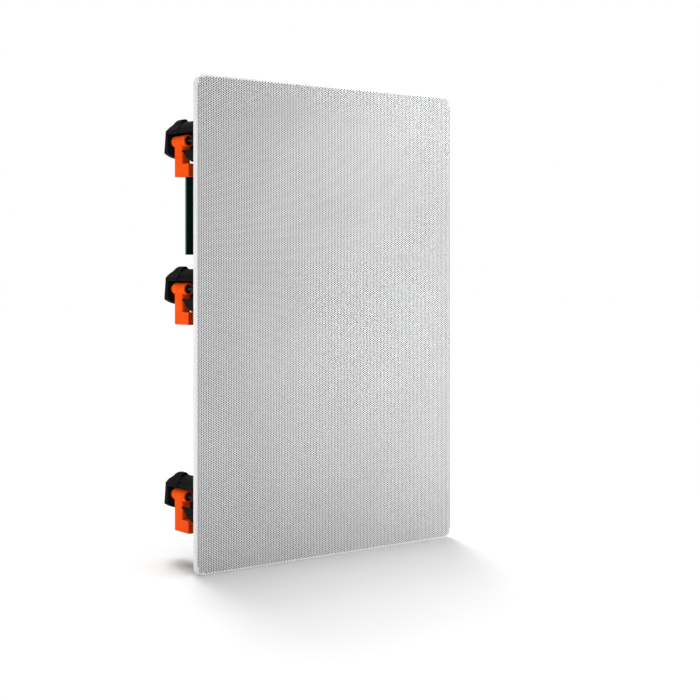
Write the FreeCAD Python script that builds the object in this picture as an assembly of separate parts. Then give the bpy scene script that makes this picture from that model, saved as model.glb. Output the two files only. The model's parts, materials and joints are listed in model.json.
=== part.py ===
import FreeCAD, Part
import math
import os

from FreeCAD import Vector

# Two-way in-wall loudspeaker with a magnetic perforated grille and six swing-out clamps.
# Millimetres. X is right seen from the front, Y goes into the wall and Z is up.
# The origin is the centre of the flange's back face, which lies on the wall's surface at Y = 0.

# Grille: a perforated steel sheet with a folded rim, and the cloth behind it
GRILLE_CORNER = 7.0
GRILLE_SHEET = 0.7
GRILLE_RIM_DEPTH = 4.0
GRILLE_EDGE_ROUND = 1.2
GRILLE_PROUD = 4.5
SCRIM_THICKNESS = 0.3
SCRIM_MARGIN = 1.0

# Chassis: flange and collar, and the baffle inside it with the two tubs that hold the drivers
FLANGE_GAP = 0.5
PLATE_THICKNESS = 3.0
OVERHANG = 12.5
CUTOUT_GAP = 1.0
COLLAR_WALL = 2.5
COLLAR_CORNER = 6.0
COLLAR_DEPTH = 14.0
WINDOW_SINK = 0.4
TUB_WALL = 2.5
TUB_GAP = 1.0
TUB_TO_SIDE = 1.5
TUB_TO_BOTTOM = 6.0
TUB_TO_TOP = 3.5
TUB_TO_TUB = 3.5
BAFFLE_FRONT = 10.0
BAFFLE_THICKNESS = 4.0
RIB_THICKNESS = 2.0
RIB_DEPTH = 9.0
RIB_FROM_CENTRE = (40.0, 60.0)
MAGNET_RADIUS = 4.0
MAGNET_THICKNESS = 2.0
MAGNET_FROM_EDGE = 7.0
MAGNET_SPREAD = 55.0
MAGNET_FROM_CORNER = 34.0

# Clamps: a screw, a threaded insert and an orange dog in a moulded tower
CLAMP_INSET = 6.5
CLAMP_FROM_TOP = 44.7
TUB_TO_EAR = 2.3
CLAMP_LIFT = 2.8
CLEARANCE = 0.3
RUNNING_FIT = 0.1
SCREW_RADIUS = 1.75
SCREW_HEAD_RADIUS = 3.5
SCREW_HEAD_THICKNESS = 2.3
SCREW_HEAD_GAP = 0.1
SCREW_HEAD_SINK = 0.6
DRIVER_HOLE_LIP = 0.4
SCREW_TIP = 60.0
CROSS_LENGTH = 4.4
CROSS_WIDTH = 0.9
CROSS_DEPTH = 1.3
DOG_FRONT = 36.3
DOG_REAR = 55.2
DOG_FRONT_RADIUS = 4.65
DOG_REAR_RADIUS = 4.45
DOG_MOUTH_RADIUS = 3.35
DOG_BORE_RADIUS = 3.0
DOG_SHOULDER = 40.0
ARM_FRONT = 40.8
ARM_REAR = 51.2
ARM_WIDTH = 7.0
ARM_CHAMFER = 0.8
DOG_FRONT_ROUND = 0.6
DOG_REAR_ROUND = 1.2
FOOT_FRONT = 31.3
FOOT_TOP = 17.4
FOOT_BOTTOM = 26.8
KNURL_PITCH = 1.1
KNURL_DEPTH = 0.45
INSERT_FLANGE = 1.0
INSERT_REAR = 53.0
TOWER_BASE = 12.0
TOWER_REAR = 62.0
TOWER_LEAN = 2.5
TOWER_OUTER = 5.2
TOWER_INNER = 12.0
TOWER_WALL = 2.0
TOWER_REAR_WALL = 3.0
TOWER_RECESS = 0.6
TOWER_ROOF_LOW = 5.8
TOWER_ROOF_HIGH = 8.7
TOWER_REAR_TOP = 7.8
TOWER_CORNER_LOW = 8.1
TOWER_BOTTOM = 12.0
TOWER_CORNER = ((3.0, 9.9), (14.0, 12.0))
CAP_EDGE = 45.7
CAP_WALL = 1.9
CAP_RISE = 8.2
# The cap's two curved outlines: steps in from the rear or the side, and up from the roof
CAP_REAR_CURVE = ((0.0, 0.0), (1.3, 2.6), (4.6, 4.6), (7.2, 6.9), (10.0, CAP_RISE))
CAP_SIDE_CURVE = ((0.0, -0.5), (1.9, 1.8), (3.6, 4.3), (4.9, 6.9), (6.6, CAP_RISE))
CAP_CREST_WIDTH = 2.0
GUARD_CENTRE = 4.2
GUARD_RADIUS = 7.6
GUARD_SINK = 1.3
FIN_THICKNESS = 1.4
FIN_TOP = 7.2
FIN_TIP = 38.6
FIN_TIP_HEIGHT = 0.9
FIN_BEVEL = 0.6
FIN_KNEES = ((34.6, 10.2), (32.8, 12.8))
FIN_FOOT = (24.0, 16.8)
BOSS_RADIUS = 3.6
BOSS_GAP = 0.7
EAR_WIDTH = 8.0
EAR_HALF_HEIGHT = 9.0
EAR_THICKNESS = 3.0
EAR_HOLE_SPREAD = 5.0
SMALL_SCREW_RADIUS = 1.3
SMALL_HEAD_RADIUS = 2.6
SMALL_HEAD_THICKNESS = 1.6
SMALL_SCREW_GRIP = 2.2

# Woofer
WOOFER_RADIUS = 101.5
WOOFER_SEAT_WIDTH = 10.5
WOOFER_HOLE_GAP = 0.5
RIM_THICKNESS = 3.0
RIM_WIDTH = 13.5
BASKET_WALL = 2.0
BASKET_STEP = 20.0
BASKET_STEP_INSET = 15.5
BASKET_FLOOR = 59.0
BASKET_FLOOR_RADIUS = 54.0
WINDOW_COUNT = 8
WINDOW_MARGIN_INNER = 7.0
WINDOW_MARGIN_OUTER = 4.0
WINDOW_ANGLE = 25.0
SPIDER_LIP = 4.0
SPIDER_THICKNESS = 0.6
SPIDER_TO_CONE = 0.6
SPIDER_WAVE = 1.6
SPIDER_WAVES = 5
WOOFER_SCREW_INSET = 3.2
WOOFER_SCREW_COUNT = 8
WOOFER_SCREW_RADIUS = 1.6
WOOFER_SCREW_HEAD = 2.7
SURROUND_THICKNESS = 0.8
SURROUND_ROLL = 6.0
SURROUND_INSET = 9.5
SURROUND_LIP = 3.2
TRIM_RING_THICKNESS = 1.0
CONE_THICKNESS = 0.8
CONE_NECK_DEPTH = 41.0
CONE_SAG = 4.0
DUST_CAP_RADIUS = 25.0
DUST_CAP_RISE = 8.0
DUST_CAP_THICKNESS = 0.6
COIL_RADIUS = 19.2
COIL_FORMER = 0.4
COIL_WIRE = 0.35
COIL_GAP = 0.4
COIL_FRONT = 60.0
COIL_REAR = 72.0
FRONT_PLATE_THICKNESS = 6.0
FRONT_PLATE_INSET = 4.0
MAGNET_RING_INNER = 28.0
MAGNET_RING_RADIUS = 54.0
MAGNET_RING_THICKNESS = 18.0
BACK_PLATE_INSET = 3.0
BACK_PLATE_THICKNESS = 6.0
VENT_RADIUS = 5.0
TERMINAL_STRIP_WIDTH = 24.0
TERMINAL_STRIP_HEIGHT = 10.0
TERMINAL_STRIP_THICKNESS = 1.6
TERMINAL_LUG_WIDTH = 10.0
TERMINAL_TAB = (4.8, 0.8, 8.0)
TERMINAL_SPREAD = 7.0

# Tweeter
TWEETER_RADIUS = 50.0
TWEETER_HOLE_GAP = 3.0
TWEETER_MOUTH_INSET = 9.0
TWEETER_THROAT_DEPTH = 18.0
TWEETER_BACK = 22.0
TWEETER_BODY_RADIUS = 34.0
DOME_RADIUS = 13.0
DOME_RISE = 5.0
DOME_THICKNESS = 0.4
DOME_LIP = 3.0
DOME_LIP_GAP = 0.5
DOME_TO_COIL = 0.3
TWEETER_COIL_LENGTH = 7.0
TWEETER_PLATE_THICKNESS = 4.0
TWEETER_MAGNET_GAP = 4.3
TWEETER_MAGNET_THICKNESS = 9.0
TWEETER_YOKE_THICKNESS = 4.0
TWEETER_CHAMBER_INSET = 8.0
TWEETER_CHAMBER_DEPTH = 16.0
TWEETER_CHAMBER_WALL = 2.0
TWEETER_SCREW_INSET = 5.5
TWEETER_SCREW_COUNT = 4

# Crossover board with its components, on four posts behind the tweeter
BOARD_FRONT = 64.5
BOARD_THICKNESS = 1.6
BOARD_FROM_EDGE = 33.6
BOARD_FROM_TOP = 42.0
BOARD_HEIGHT = 88.0
BOARD_NOTCH = (7.8, 22.0)
POST_INSET = (14.0, 7.5)
POST_ROOT_RADIUS = 5.0
POST_TIP_RADIUS = 3.4
PILOT_DEPTH = 8.0
LARGE_COIL_FROM_CORNER = (44.2, 49.0)
LARGE_COIL_RADIUS = 23.0
LARGE_COIL_CORE = 10.0
LARGE_COIL_HEIGHT = 18.0
SMALL_COIL_FROM_CORNER = (80.2, 23.0)
SMALL_COIL_RADIUS = 14.0
SMALL_COIL_CORE = 6.5
SMALL_COIL_HEIGHT = 12.0
BOBBIN_FLANGE = 1.2
CAPACITOR_LENGTH = 34.0
CAPACITOR_RADIUS = 7.5
CAPACITOR_FROM_BOTTOM = (73.0, 55.0)
CAPACITOR_GAP = 2.0
RESISTOR_SIZE = (24.0, 9.0, 9.0)
RESISTOR_FROM_SIDE = 20.2
RESISTOR_FROM_BOTTOM = (53.0, 39.0)
TERMINAL_FROM_CORNER = (38.2, 17.0)
TERMINAL_SIZE = (40.0, 15.0, 20.0)
WIRE_HOLE_RADIUS = 1.8
WIRE_HOLE_DEPTH = 9.0
WIRE_HOLE_SPREAD = 9.5
LEVER_WIDTH = 13.0
LEVER_THICKNESS = 2.4
LEVER_LENGTH = 9.0
LEVER_PIN_RADIUS = 1.2

# Places worked out from the sizes above: the panel is as large as its two drivers need
WOOFER_TUB_RADIUS = WOOFER_RADIUS + TUB_GAP + TUB_WALL
TWEETER_TUB_RADIUS = TWEETER_RADIUS + TUB_GAP + TUB_WALL
COLLAR_WIDTH = 2 * (WOOFER_TUB_RADIUS + TUB_TO_SIDE + COLLAR_WALL)
COLLAR_HEIGHT = (TUB_TO_BOTTOM + 2 * WOOFER_TUB_RADIUS + TUB_TO_TUB + 2 * TWEETER_TUB_RADIUS
                 + TUB_TO_TOP + 2 * COLLAR_WALL)
GRILLE_WIDTH = COLLAR_WIDTH + 2 * (OVERHANG + CUTOUT_GAP)
GRILLE_HEIGHT = COLLAR_HEIGHT + 2 * (OVERHANG + CUTOUT_GAP)
SHEET_BACK = GRILLE_SHEET - GRILLE_PROUD
FLANGE_WIDTH = GRILLE_WIDTH - 2 * (GRILLE_SHEET + FLANGE_GAP)
FLANGE_HEIGHT = GRILLE_HEIGHT - 2 * (GRILLE_SHEET + FLANGE_GAP)
FLANGE_CORNER = GRILLE_CORNER - GRILLE_SHEET - FLANGE_GAP
WOOFER_Z = -COLLAR_HEIGHT / 2 + COLLAR_WALL + TUB_TO_BOTTOM + WOOFER_TUB_RADIUS
TWEETER_Z = COLLAR_HEIGHT / 2 - COLLAR_WALL - TUB_TO_TOP - TWEETER_TUB_RADIUS
CLAMP_X = GRILLE_WIDTH / 2 - OVERHANG - CLAMP_INSET
CLAMP_BELOW_WOOFER = EAR_HALF_HEIGHT + math.sqrt(
    (WOOFER_TUB_RADIUS + TUB_TO_EAR) ** 2 - (CLAMP_X - TOWER_INNER - EAR_WIDTH) ** 2
)
CLAMP_ROWS = {
    "top": GRILLE_HEIGHT / 2 - CLAMP_FROM_TOP,
    "middle": WOOFER_Z + CLAMP_BELOW_WOOFER + CLAMP_LIFT,
    "bottom": WOOFER_Z - CLAMP_BELOW_WOOFER,
}
CAP_TOP = TOWER_ROOF_HIGH + CAP_RISE
RIM_FRONT = BAFFLE_FRONT - RIM_THICKNESS
WOOFER_HOLE_RADIUS = WOOFER_RADIUS - WOOFER_SEAT_WIDTH
BASKET_STEP_RADIUS = WOOFER_RADIUS - BASKET_STEP_INSET
SPIDER_OUTER = BASKET_FLOOR_RADIUS
SPIDER_SHELF = CONE_NECK_DEPTH + CONE_THICKNESS + SPIDER_TO_CONE + SPIDER_THICKNESS
SURROUND_OUTER = WOOFER_RADIUS - SURROUND_INSET
TWEETER_HOLE_RADIUS = TWEETER_BODY_RADIUS + TWEETER_HOLE_GAP
TWEETER_THROAT_RADIUS = DOME_RADIUS + DOME_LIP + DOME_LIP_GAP
TWEETER_COIL_RADIUS = DOME_RADIUS - DOME_TO_COIL
TWEETER_CHAMBER_RADIUS = TWEETER_BODY_RADIUS - TWEETER_CHAMBER_INSET
PLATE_FRONT = -PLATE_THICKNESS
BASKET_REAR = BASKET_FLOOR
MAGNET_FRONT = BASKET_REAR + FRONT_PLATE_THICKNESS
MAGNET_REAR = MAGNET_FRONT + MAGNET_RING_THICKNESS
YOKE_REAR = MAGNET_REAR + BACK_PLATE_THICKNESS
BOARD_REAR = BOARD_FRONT + BOARD_THICKNESS
BOARD_HALF_WIDTH = GRILLE_WIDTH / 2 - BOARD_FROM_EDGE
BOARD_TOP = GRILLE_HEIGHT / 2 - BOARD_FROM_TOP
BOARD_BOTTOM = BOARD_TOP - BOARD_HEIGHT


def box(x0, x1, y0, y1, z0, z1):
    return Part.makeBox(x1 - x0, y1 - y0, z1 - z0, Vector(x0, y0, z0))


def cylinder(radius, y0, y1, x=0.0, z=0.0):
    return Part.makeCylinder(radius, y1 - y0, Vector(x, y0, z), Vector(0, 1, 0))


def tapered(radius0, radius1, y0, y1, x=0.0, z=0.0):
    return Part.makeCone(radius0, radius1, y1 - y0, Vector(x, y0, z), Vector(0, 1, 0))


def ring(outer, inner, y0, y1, x=0.0, z=0.0):
    return cylinder(outer, y0, y1, x, z).cut(cylinder(inner, y0, y1, x, z))


def prism(points, direction):
    wire = Part.makePolygon(points + points[:1])
    return Part.Face(wire).extrude(direction)


def prism_x(outline, x0, x1):
    """An outline of (y, z) points drawn out along X."""
    return prism([Vector(x0, y, z) for y, z in outline], Vector(x1 - x0, 0, 0))


def prism_y(outline, y0, y1):
    """An outline of (x, z) points drawn out along Y."""
    return prism([Vector(x, y0, z) for x, z in outline], Vector(0, y1 - y0, 0))


def prism_z(outline, z0, z1):
    """An outline of (x, y) points drawn out along Z."""
    return prism([Vector(x, y, z0) for x, y in outline], Vector(0, 0, z1 - z0))


def turned(edges, x=0.0, z=0.0):
    """A closed outline of edges in (radius, Y), drawn at Z = 0, turned round the Y axis."""
    face = Part.Face(Part.Wire(edges))
    solid = face.revolve(Vector(0, 0, 0), Vector(0, 1, 0), 360)
    solid.translate(Vector(x, 0, z))
    return solid


def lines(points, closed=False):
    ends = points[1:] + (points[:1] if closed else [])
    return [
        Part.LineSegment(Vector(a[0], a[1], 0), Vector(b[0], b[1], 0)).toShape()
        for a, b in zip(points, ends)
    ]


def arc(start, middle, end):
    points = [Vector(p[0], p[1], 0) for p in (start, middle, end)]
    return Part.Arc(*points).toShape()


def turned_outline(points, x=0.0, z=0.0):
    return turned(lines(points, closed=True), x, z)


def rounded_plate(width, height, corner, y0, y1):
    plate = box(-width / 2, width / 2, y0, y1, -height / 2, height / 2)
    upright = [e for e in plate.Edges if abs(e.tangentAt(e.FirstParameter).y) > 0.9]
    return plate.makeFillet(corner, upright)


def edges_at(shape, y):
    """The shape's edges that lie in the plane at y."""
    return [
        e for e in shape.Edges
        if abs(e.BoundBox.YMin - y) < 1e-6 and abs(e.BoundBox.YMax - y) < 1e-6
    ]


def round_front(plate, y, radius):
    return plate.makeFillet(radius, edges_at(plate, y))


def around(count, radius, x=0.0, z=0.0, first=0.0):
    """Evenly spaced (x, z) places on a circle, counted from +Z."""
    angles = [math.radians(first + 360.0 * i / count) for i in range(count)]
    return [(x + radius * math.sin(a), z + radius * math.cos(a)) for a in angles]


def both_sides(x, z):
    return [(-x, z), (x, z)]


def magnet_places():
    side_x = GRILLE_WIDTH / 2 - MAGNET_FROM_EDGE
    end_z = GRILLE_HEIGHT / 2 - MAGNET_FROM_EDGE
    corner_z = GRILLE_HEIGHT / 2 - MAGNET_FROM_CORNER
    places = both_sides(side_x, corner_z) + both_sides(side_x, -corner_z)
    places += both_sides(side_x, WOOFER_Z)
    places += both_sides(MAGNET_SPREAD, end_z) + both_sides(MAGNET_SPREAD, -end_z)
    return places


def ear_holes():
    x = TOWER_INNER + EAR_WIDTH / 2
    return [(x, -EAR_HOLE_SPREAD), (x, EAR_HOLE_SPREAD)]


def clamp_places():
    """Each clamp's name, X, Z and turn: a clamp on the right is the left one turned half round."""
    places = []
    for row, z in CLAMP_ROWS.items():
        places.append((f"left_{row}", -CLAMP_X, z, 0.0))
        places.append((f"right_{row}", CLAMP_X, z, 180.0))
    return places


def set_in_place(shape, x, z, turn):
    placed = shape.copy()
    placed.rotate(Vector(0, 0, 0), Vector(0, 1, 0), turn)
    placed.translate(Vector(x, 0, z))
    return placed


def post_places():
    x = BOARD_HALF_WIDTH - POST_INSET[0]
    low = BOARD_BOTTOM + POST_INSET[1]
    high = BOARD_TOP - POST_INSET[1]
    return both_sides(x, low) + both_sides(x, high)


def grille():
    front = -GRILLE_PROUD
    back = front + GRILLE_RIM_DEPTH
    shell = rounded_plate(GRILLE_WIDTH, GRILLE_HEIGHT, GRILLE_CORNER, front, back)
    shell = round_front(shell, front, GRILLE_EDGE_ROUND)
    inner = rounded_plate(
        GRILLE_WIDTH - 2 * GRILLE_SHEET,
        GRILLE_HEIGHT - 2 * GRILLE_SHEET,
        GRILLE_CORNER - GRILLE_SHEET,
        SHEET_BACK,
        back,
    )
    inner = round_front(inner, SHEET_BACK, GRILLE_EDGE_ROUND - GRILLE_SHEET)
    return shell.cut(inner)


def grille_scrim():
    inset = GRILLE_SHEET + SCRIM_MARGIN
    return rounded_plate(
        GRILLE_WIDTH - 2 * inset,
        GRILLE_HEIGHT - 2 * inset,
        GRILLE_CORNER - inset,
        SHEET_BACK,
        SHEET_BACK + SCRIM_THICKNESS,
    )


def grille_magnets():
    rear = PLATE_FRONT + MAGNET_THICKNESS
    return Part.makeCompound(
        [cylinder(MAGNET_RADIUS, PLATE_FRONT, rear, x, z) for x, z in magnet_places()]
    )


def chassis_windows():
    """Gaps in the collar that let each dog swing out, sunk a little into the flange's back."""
    outer = COLLAR_WIDTH / 2
    inner = COLLAR_WIDTH / 2 - COLLAR_WALL - 1
    windows = []
    for _, x, z, turn in clamp_places():
        low, high = z - FOOT_BOTTOM - CLEARANCE, z + CAP_TOP + CLEARANCE
        if turn:
            low, high = z - CAP_TOP - CLEARANCE, z + FOOT_BOTTOM + CLEARANCE
        x0, x1 = (inner, outer) if x > 0 else (-outer, -inner)
        windows.append(box(x0, x1, -WINDOW_SINK, COLLAR_DEPTH + 1, low, high))
    return windows


def inside_collar(y0, y1):
    """What fills the collar from wall to wall."""
    return rounded_plate(
        COLLAR_WIDTH - 2 * COLLAR_WALL,
        COLLAR_HEIGHT - 2 * COLLAR_WALL,
        COLLAR_CORNER - COLLAR_WALL,
        y0,
        y1,
    )


def chassis():
    """The flange that covers the hole's edge, and the collar that passes through the wall."""
    flange = rounded_plate(FLANGE_WIDTH, FLANGE_HEIGHT, FLANGE_CORNER, PLATE_FRONT, 0)
    collar = rounded_plate(COLLAR_WIDTH, COLLAR_HEIGHT, COLLAR_CORNER, 0, COLLAR_DEPTH)
    body = flange.fuse(collar).cut(inside_collar(PLATE_FRONT, COLLAR_DEPTH))
    magnets = [
        cylinder(MAGNET_RADIUS, PLATE_FRONT - 1, PLATE_FRONT + MAGNET_THICKNESS, x, z)
        for x, z in magnet_places()
    ]
    return body.cut(chassis_windows() + magnets).removeSplitter()


def baffle_ribs(woofer_tub, tweeter_tub):
    """Upright webs that tie the tubs to the plate, cut short by the tubs."""
    half = COLLAR_HEIGHT / 2 - COLLAR_WALL
    webs = []
    for x in RIB_FROM_CENTRE:
        for side in (-x, x):
            webs.append(
                box(side - RIB_THICKNESS / 2, side + RIB_THICKNESS / 2, 0, RIB_DEPTH, -half, half)
            )
    return [web.cut([woofer_tub, tweeter_tub]) for web in webs]


def baffle():
    """The plate inside the collar, with the two tubs that the drivers sit in."""
    plate = inside_collar(PLATE_FRONT, 0)
    baffle_rear = BAFFLE_FRONT + BAFFLE_THICKNESS
    woofer_recess = WOOFER_RADIUS + TUB_GAP
    tweeter_recess = TWEETER_RADIUS + TUB_GAP
    woofer_tub = cylinder(WOOFER_TUB_RADIUS, PLATE_FRONT, baffle_rear, 0, WOOFER_Z)
    tweeter_tub = cylinder(TWEETER_TUB_RADIUS, PLATE_FRONT, baffle_rear, 0, TWEETER_Z)
    body = plate.fuse([woofer_tub, tweeter_tub] + baffle_ribs(woofer_tub, tweeter_tub))
    cuts = [
        cylinder(woofer_recess, PLATE_FRONT - 1, BAFFLE_FRONT, 0, WOOFER_Z),
        cylinder(WOOFER_HOLE_RADIUS, BAFFLE_FRONT - 1, baffle_rear + 1, 0, WOOFER_Z),
        cylinder(tweeter_recess, PLATE_FRONT - 1, BAFFLE_FRONT, 0, TWEETER_Z),
        cylinder(TWEETER_HOLE_RADIUS, BAFFLE_FRONT - 1, baffle_rear + 1, 0, TWEETER_Z),
    ]
    for x, z in woofer_screw_places() + tweeter_screw_places():
        cuts.append(cylinder(WOOFER_SCREW_RADIUS, BAFFLE_FRONT - 1, baffle_rear + 1, x, z))
    for _, x, z, turn in clamp_places():
        hole = cylinder(SCREW_HEAD_RADIUS - DRIVER_HOLE_LIP, PLATE_FRONT - 1, 1)
        pilots = [
            cylinder(SMALL_SCREW_RADIUS, -SMALL_SCREW_GRIP, 1, px, pz) for px, pz in ear_holes()
        ]
        cuts += [set_in_place(cut, x, z, turn) for cut in [hole] + pilots]
    return body.cut(cuts).removeSplitter()


def board_posts():
    """Moulded posts that stand on the plate's back and carry the crossover board."""
    posts = []
    for x, z in post_places():
        post = tapered(POST_ROOT_RADIUS, POST_TIP_RADIUS, 0, BOARD_FRONT, x, z)
        pilot = cylinder(SMALL_SCREW_RADIUS, BOARD_FRONT - PILOT_DEPTH, BOARD_FRONT + 1, x, z)
        posts.append(post.cut(pilot))
    return Part.makeCompound(posts)


def clamp_screw():
    head_front = SCREW_HEAD_SINK
    head_rear = head_front + SCREW_HEAD_THICKNESS
    head = tapered(SCREW_HEAD_RADIUS * 0.8, SCREW_HEAD_RADIUS, head_front, head_front + 1.0)
    head = head.fuse(cylinder(SCREW_HEAD_RADIUS, head_front + 1.0, head_rear))
    point = SCREW_TIP - SCREW_RADIUS
    shank = cylinder(SCREW_RADIUS, head_rear, point)
    tip = tapered(SCREW_RADIUS, SCREW_RADIUS * 0.4, point, SCREW_TIP)
    half, wide = CROSS_LENGTH / 2, CROSS_WIDTH / 2
    floor = head_front + CROSS_DEPTH
    cross = [
        box(-half, half, head_front - 1, floor, -wide, wide),
        box(-wide, wide, head_front - 1, floor, -half, half),
    ]
    return head.fuse([shank, tip]).removeSplitter().cut(cross)


def clamp_insert():
    """The threaded insert that the screw drives and the dog turns on."""
    sleeve = cylinder(DOG_BORE_RADIUS - RUNNING_FIT, DOG_SHOULDER, INSERT_REAR)
    flange = cylinder(
        DOG_MOUTH_RADIUS - RUNNING_FIT, DOG_SHOULDER - INSERT_FLANGE, DOG_SHOULDER - RUNNING_FIT
    )
    neck = cylinder(DOG_BORE_RADIUS - RUNNING_FIT, DOG_SHOULDER - RUNNING_FIT, DOG_SHOULDER)
    body = sleeve.fuse([neck, flange]).removeSplitter()
    bore = cylinder(SCREW_RADIUS + RUNNING_FIT, DOG_SHOULDER - 2 * INSERT_FLANGE, INSERT_REAR + 1)
    return body.cut(bore)


def knurl_cuts():
    """Crossed V grooves over the foot's gripping face."""
    half, depth = KNURL_PITCH / 2, KNURL_DEPTH
    side = ARM_WIDTH / 2
    cuts = []
    rows = int((FOOT_BOTTOM - FOOT_TOP) / KNURL_PITCH)
    for i in range(rows):
        z = -FOOT_BOTTOM + (i + 0.5) * (FOOT_BOTTOM - FOOT_TOP) / rows
        groove = [(FOOT_FRONT - 0.01, z - half), (FOOT_FRONT + depth, z), (FOOT_FRONT - 0.01, z + half)]
        cuts.append(prism_x(groove, -side - 1, side + 1))
    columns = int(ARM_WIDTH / (2 * KNURL_PITCH))
    for i in range(columns):
        x = -side + (i + 0.5) * ARM_WIDTH / columns
        groove = [(x - half, FOOT_FRONT - 0.01), (x, FOOT_FRONT + depth), (x + half, FOOT_FRONT - 0.01)]
        cuts.append(prism_z(groove, -FOOT_BOTTOM - 1, -FOOT_TOP + 1))
    return cuts


def clamp_dog():
    """The orange dog: barrel, arm and knurled foot in one moulding."""
    side = ARM_WIDTH / 2
    barrel = tapered(DOG_FRONT_RADIUS, DOG_REAR_RADIUS, DOG_FRONT, DOG_REAR)
    barrel = barrel.makeFillet(DOG_FRONT_ROUND, edges_at(barrel, DOG_FRONT))
    barrel = barrel.makeFillet(DOG_REAR_ROUND, edges_at(barrel, DOG_REAR))
    outline = [
        (ARM_FRONT, 0),
        (ARM_REAR, 0),
        (ARM_REAR, -FOOT_BOTTOM),
        (FOOT_FRONT, -FOOT_BOTTOM),
        (FOOT_FRONT, -FOOT_TOP),
        (ARM_FRONT, -FOOT_TOP),
    ]
    arm = prism_x(outline, -side, side)
    edge = [(-side - 0.01, ARM_FRONT - 0.01), (-side + ARM_CHAMFER, ARM_FRONT - 0.01),
            (-side - 0.01, ARM_FRONT + ARM_CHAMFER)]
    arm = arm.cut(prism_z(edge, -FOOT_TOP, 0))
    dog = barrel.fuse(arm).cut(knurl_cuts())
    bores = [
        cylinder(DOG_MOUTH_RADIUS, DOG_FRONT - 1, DOG_SHOULDER),
        cylinder(DOG_BORE_RADIUS, DOG_SHOULDER - 1, INSERT_REAR + CLEARANCE),
        cylinder(SCREW_RADIUS + CLEARANCE, INSERT_REAR, DOG_REAR + 1),
    ]
    return dog.cut(bores).removeSplitter()


def smooth(points):
    """A smooth edge through the points."""
    curve = Part.BSplineCurve()
    curve.interpolate(points)
    return curve.toShape()


def outline_face(curve, corners):
    """A face bounded by a smooth curve and then by straight lines through the corners."""
    closing = Part.makePolygon([curve[-1]] + corners + [curve[0]])
    return Part.Face(Part.Wire([smooth(curve)] + closing.Edges))


def cap_block(inset, front):
    """The rear cap's outer form from front to rear, or its hollow when inset is the wall."""
    low = TOWER_ROOF_LOW - (1.0 if inset else 0.0)
    roof = TOWER_ROOF_HIGH - inset
    rear_curve = [Vector(0, TOWER_REAR - inset - step, roof + rise) for step, rise in CAP_REAR_CURVE]
    top = rear_curve[-1].z
    along = outline_face(
        rear_curve,
        [Vector(0, front, top), Vector(0, front, low), Vector(0, rear_curve[0].y, low)],
    )
    along = along.extrude(Vector(2 * TOWER_INNER + 2 * TOWER_OUTER, 0, 0))
    along.translate(Vector(-TOWER_OUTER - TOWER_INNER, 0, 0))
    side_curve = [
        Vector(inset + step - TOWER_OUTER, front, roof + rise) for step, rise in CAP_SIDE_CURVE
    ]
    inner = TOWER_INNER - inset
    across = outline_face(
        side_curve,
        [
            Vector(side_curve[-1].x + CAP_CREST_WIDTH, front, top),
            Vector(inner, front, TOWER_ROOF_HIGH - inset / 2),
            Vector(inner, front, low),
            Vector(side_curve[0].x, front, low),
        ],
    )
    return along.common(across.extrude(Vector(0, TOWER_REAR - front, 0)))


def tower_corner():
    """What the rounded lower corner takes away from the tower's outer side."""
    (x1, z1), (x2, z2) = TOWER_CORNER
    start = Vector(-TOWER_OUTER, TOWER_BASE, -TOWER_CORNER_LOW)
    middle = Vector(-TOWER_OUTER + x1, TOWER_BASE, -z1)
    end = Vector(-TOWER_OUTER + x2, TOWER_BASE, -z2)
    below = -TOWER_BOTTOM - 1
    closing = Part.makePolygon([
        end, Vector(end.x, TOWER_BASE, below), Vector(-TOWER_OUTER - 1, TOWER_BASE, below),
        Vector(-TOWER_OUTER - 1, TOWER_BASE, start.z), start,
    ])
    curve = Part.Arc(start, middle, end).toShape()
    face = Part.Face(Part.Wire([curve] + closing.Edges))
    return face.extrude(Vector(0, TOWER_REAR + TOWER_LEAN, 0))


def tower_fin():
    outline = [(0, -FIN_TOP), (FIN_TIP, -FIN_TOP), (FIN_TIP, -FIN_TOP - FIN_TIP_HEIGHT)]
    outline += [(y, -z) for y, z in FIN_KNEES + (FIN_FOOT,)]
    outline.append((0, -FIN_FOOT[1]))
    fin = prism_x(outline, -TOWER_OUTER, -TOWER_OUTER + FIN_THICKNESS)
    bevel = [(-TOWER_OUTER - 0.1, -FIN_TOP + 0.1), (-TOWER_OUTER + FIN_BEVEL, -FIN_TOP + 0.1),
             (-TOWER_OUTER - 0.1, -FIN_TOP - FIN_BEVEL)]
    return fin.cut(prism_y(bevel, TOWER_BASE, FIN_TIP + 1))


def tower_shell():
    """The tower's walls, with its hollow, its guard and its cap's hollow cut out."""
    rear_wall_front = TOWER_REAR - TOWER_REAR_WALL
    side = [
        (0, TOWER_ROOF_HIGH),
        (0, -TOWER_BOTTOM),
        (TOWER_REAR + TOWER_LEAN, -TOWER_BOTTOM),
        (TOWER_REAR, TOWER_REAR_TOP),
        (TOWER_REAR, TOWER_ROOF_HIGH),
    ]
    block = prism_x(side, -TOWER_OUTER, TOWER_INNER)
    guard_z = TOWER_ROOF_HIGH - GUARD_SINK
    guard = cylinder(GUARD_RADIUS, 0, CAP_EDGE + 2, GUARD_CENTRE, guard_z)
    body = block.fuse([guard, cap_block(0.0, CAP_EDGE)])
    cavity = box(
        -TOWER_OUTER - 1, TOWER_INNER - TOWER_WALL, TOWER_BASE, rear_wall_front,
        -TOWER_BOTTOM - 1, TOWER_ROOF_LOW,
    )
    guard_hollow = cylinder(
        GUARD_RADIUS - CAP_WALL, TOWER_BASE, CAP_EDGE, GUARD_CENTRE, guard_z
    )
    recess = box(
        -TOWER_OUTER - 1, -TOWER_OUTER + TOWER_RECESS, TOWER_BASE, CAP_EDGE,
        -TOWER_BOTTOM, TOWER_ROOF_HIGH + 1,
    )
    hollow = cap_block(CAP_WALL, CAP_EDGE - CAP_WALL)
    return body.cut([cavity, guard_hollow, hollow, recess, tower_corner()])


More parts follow.
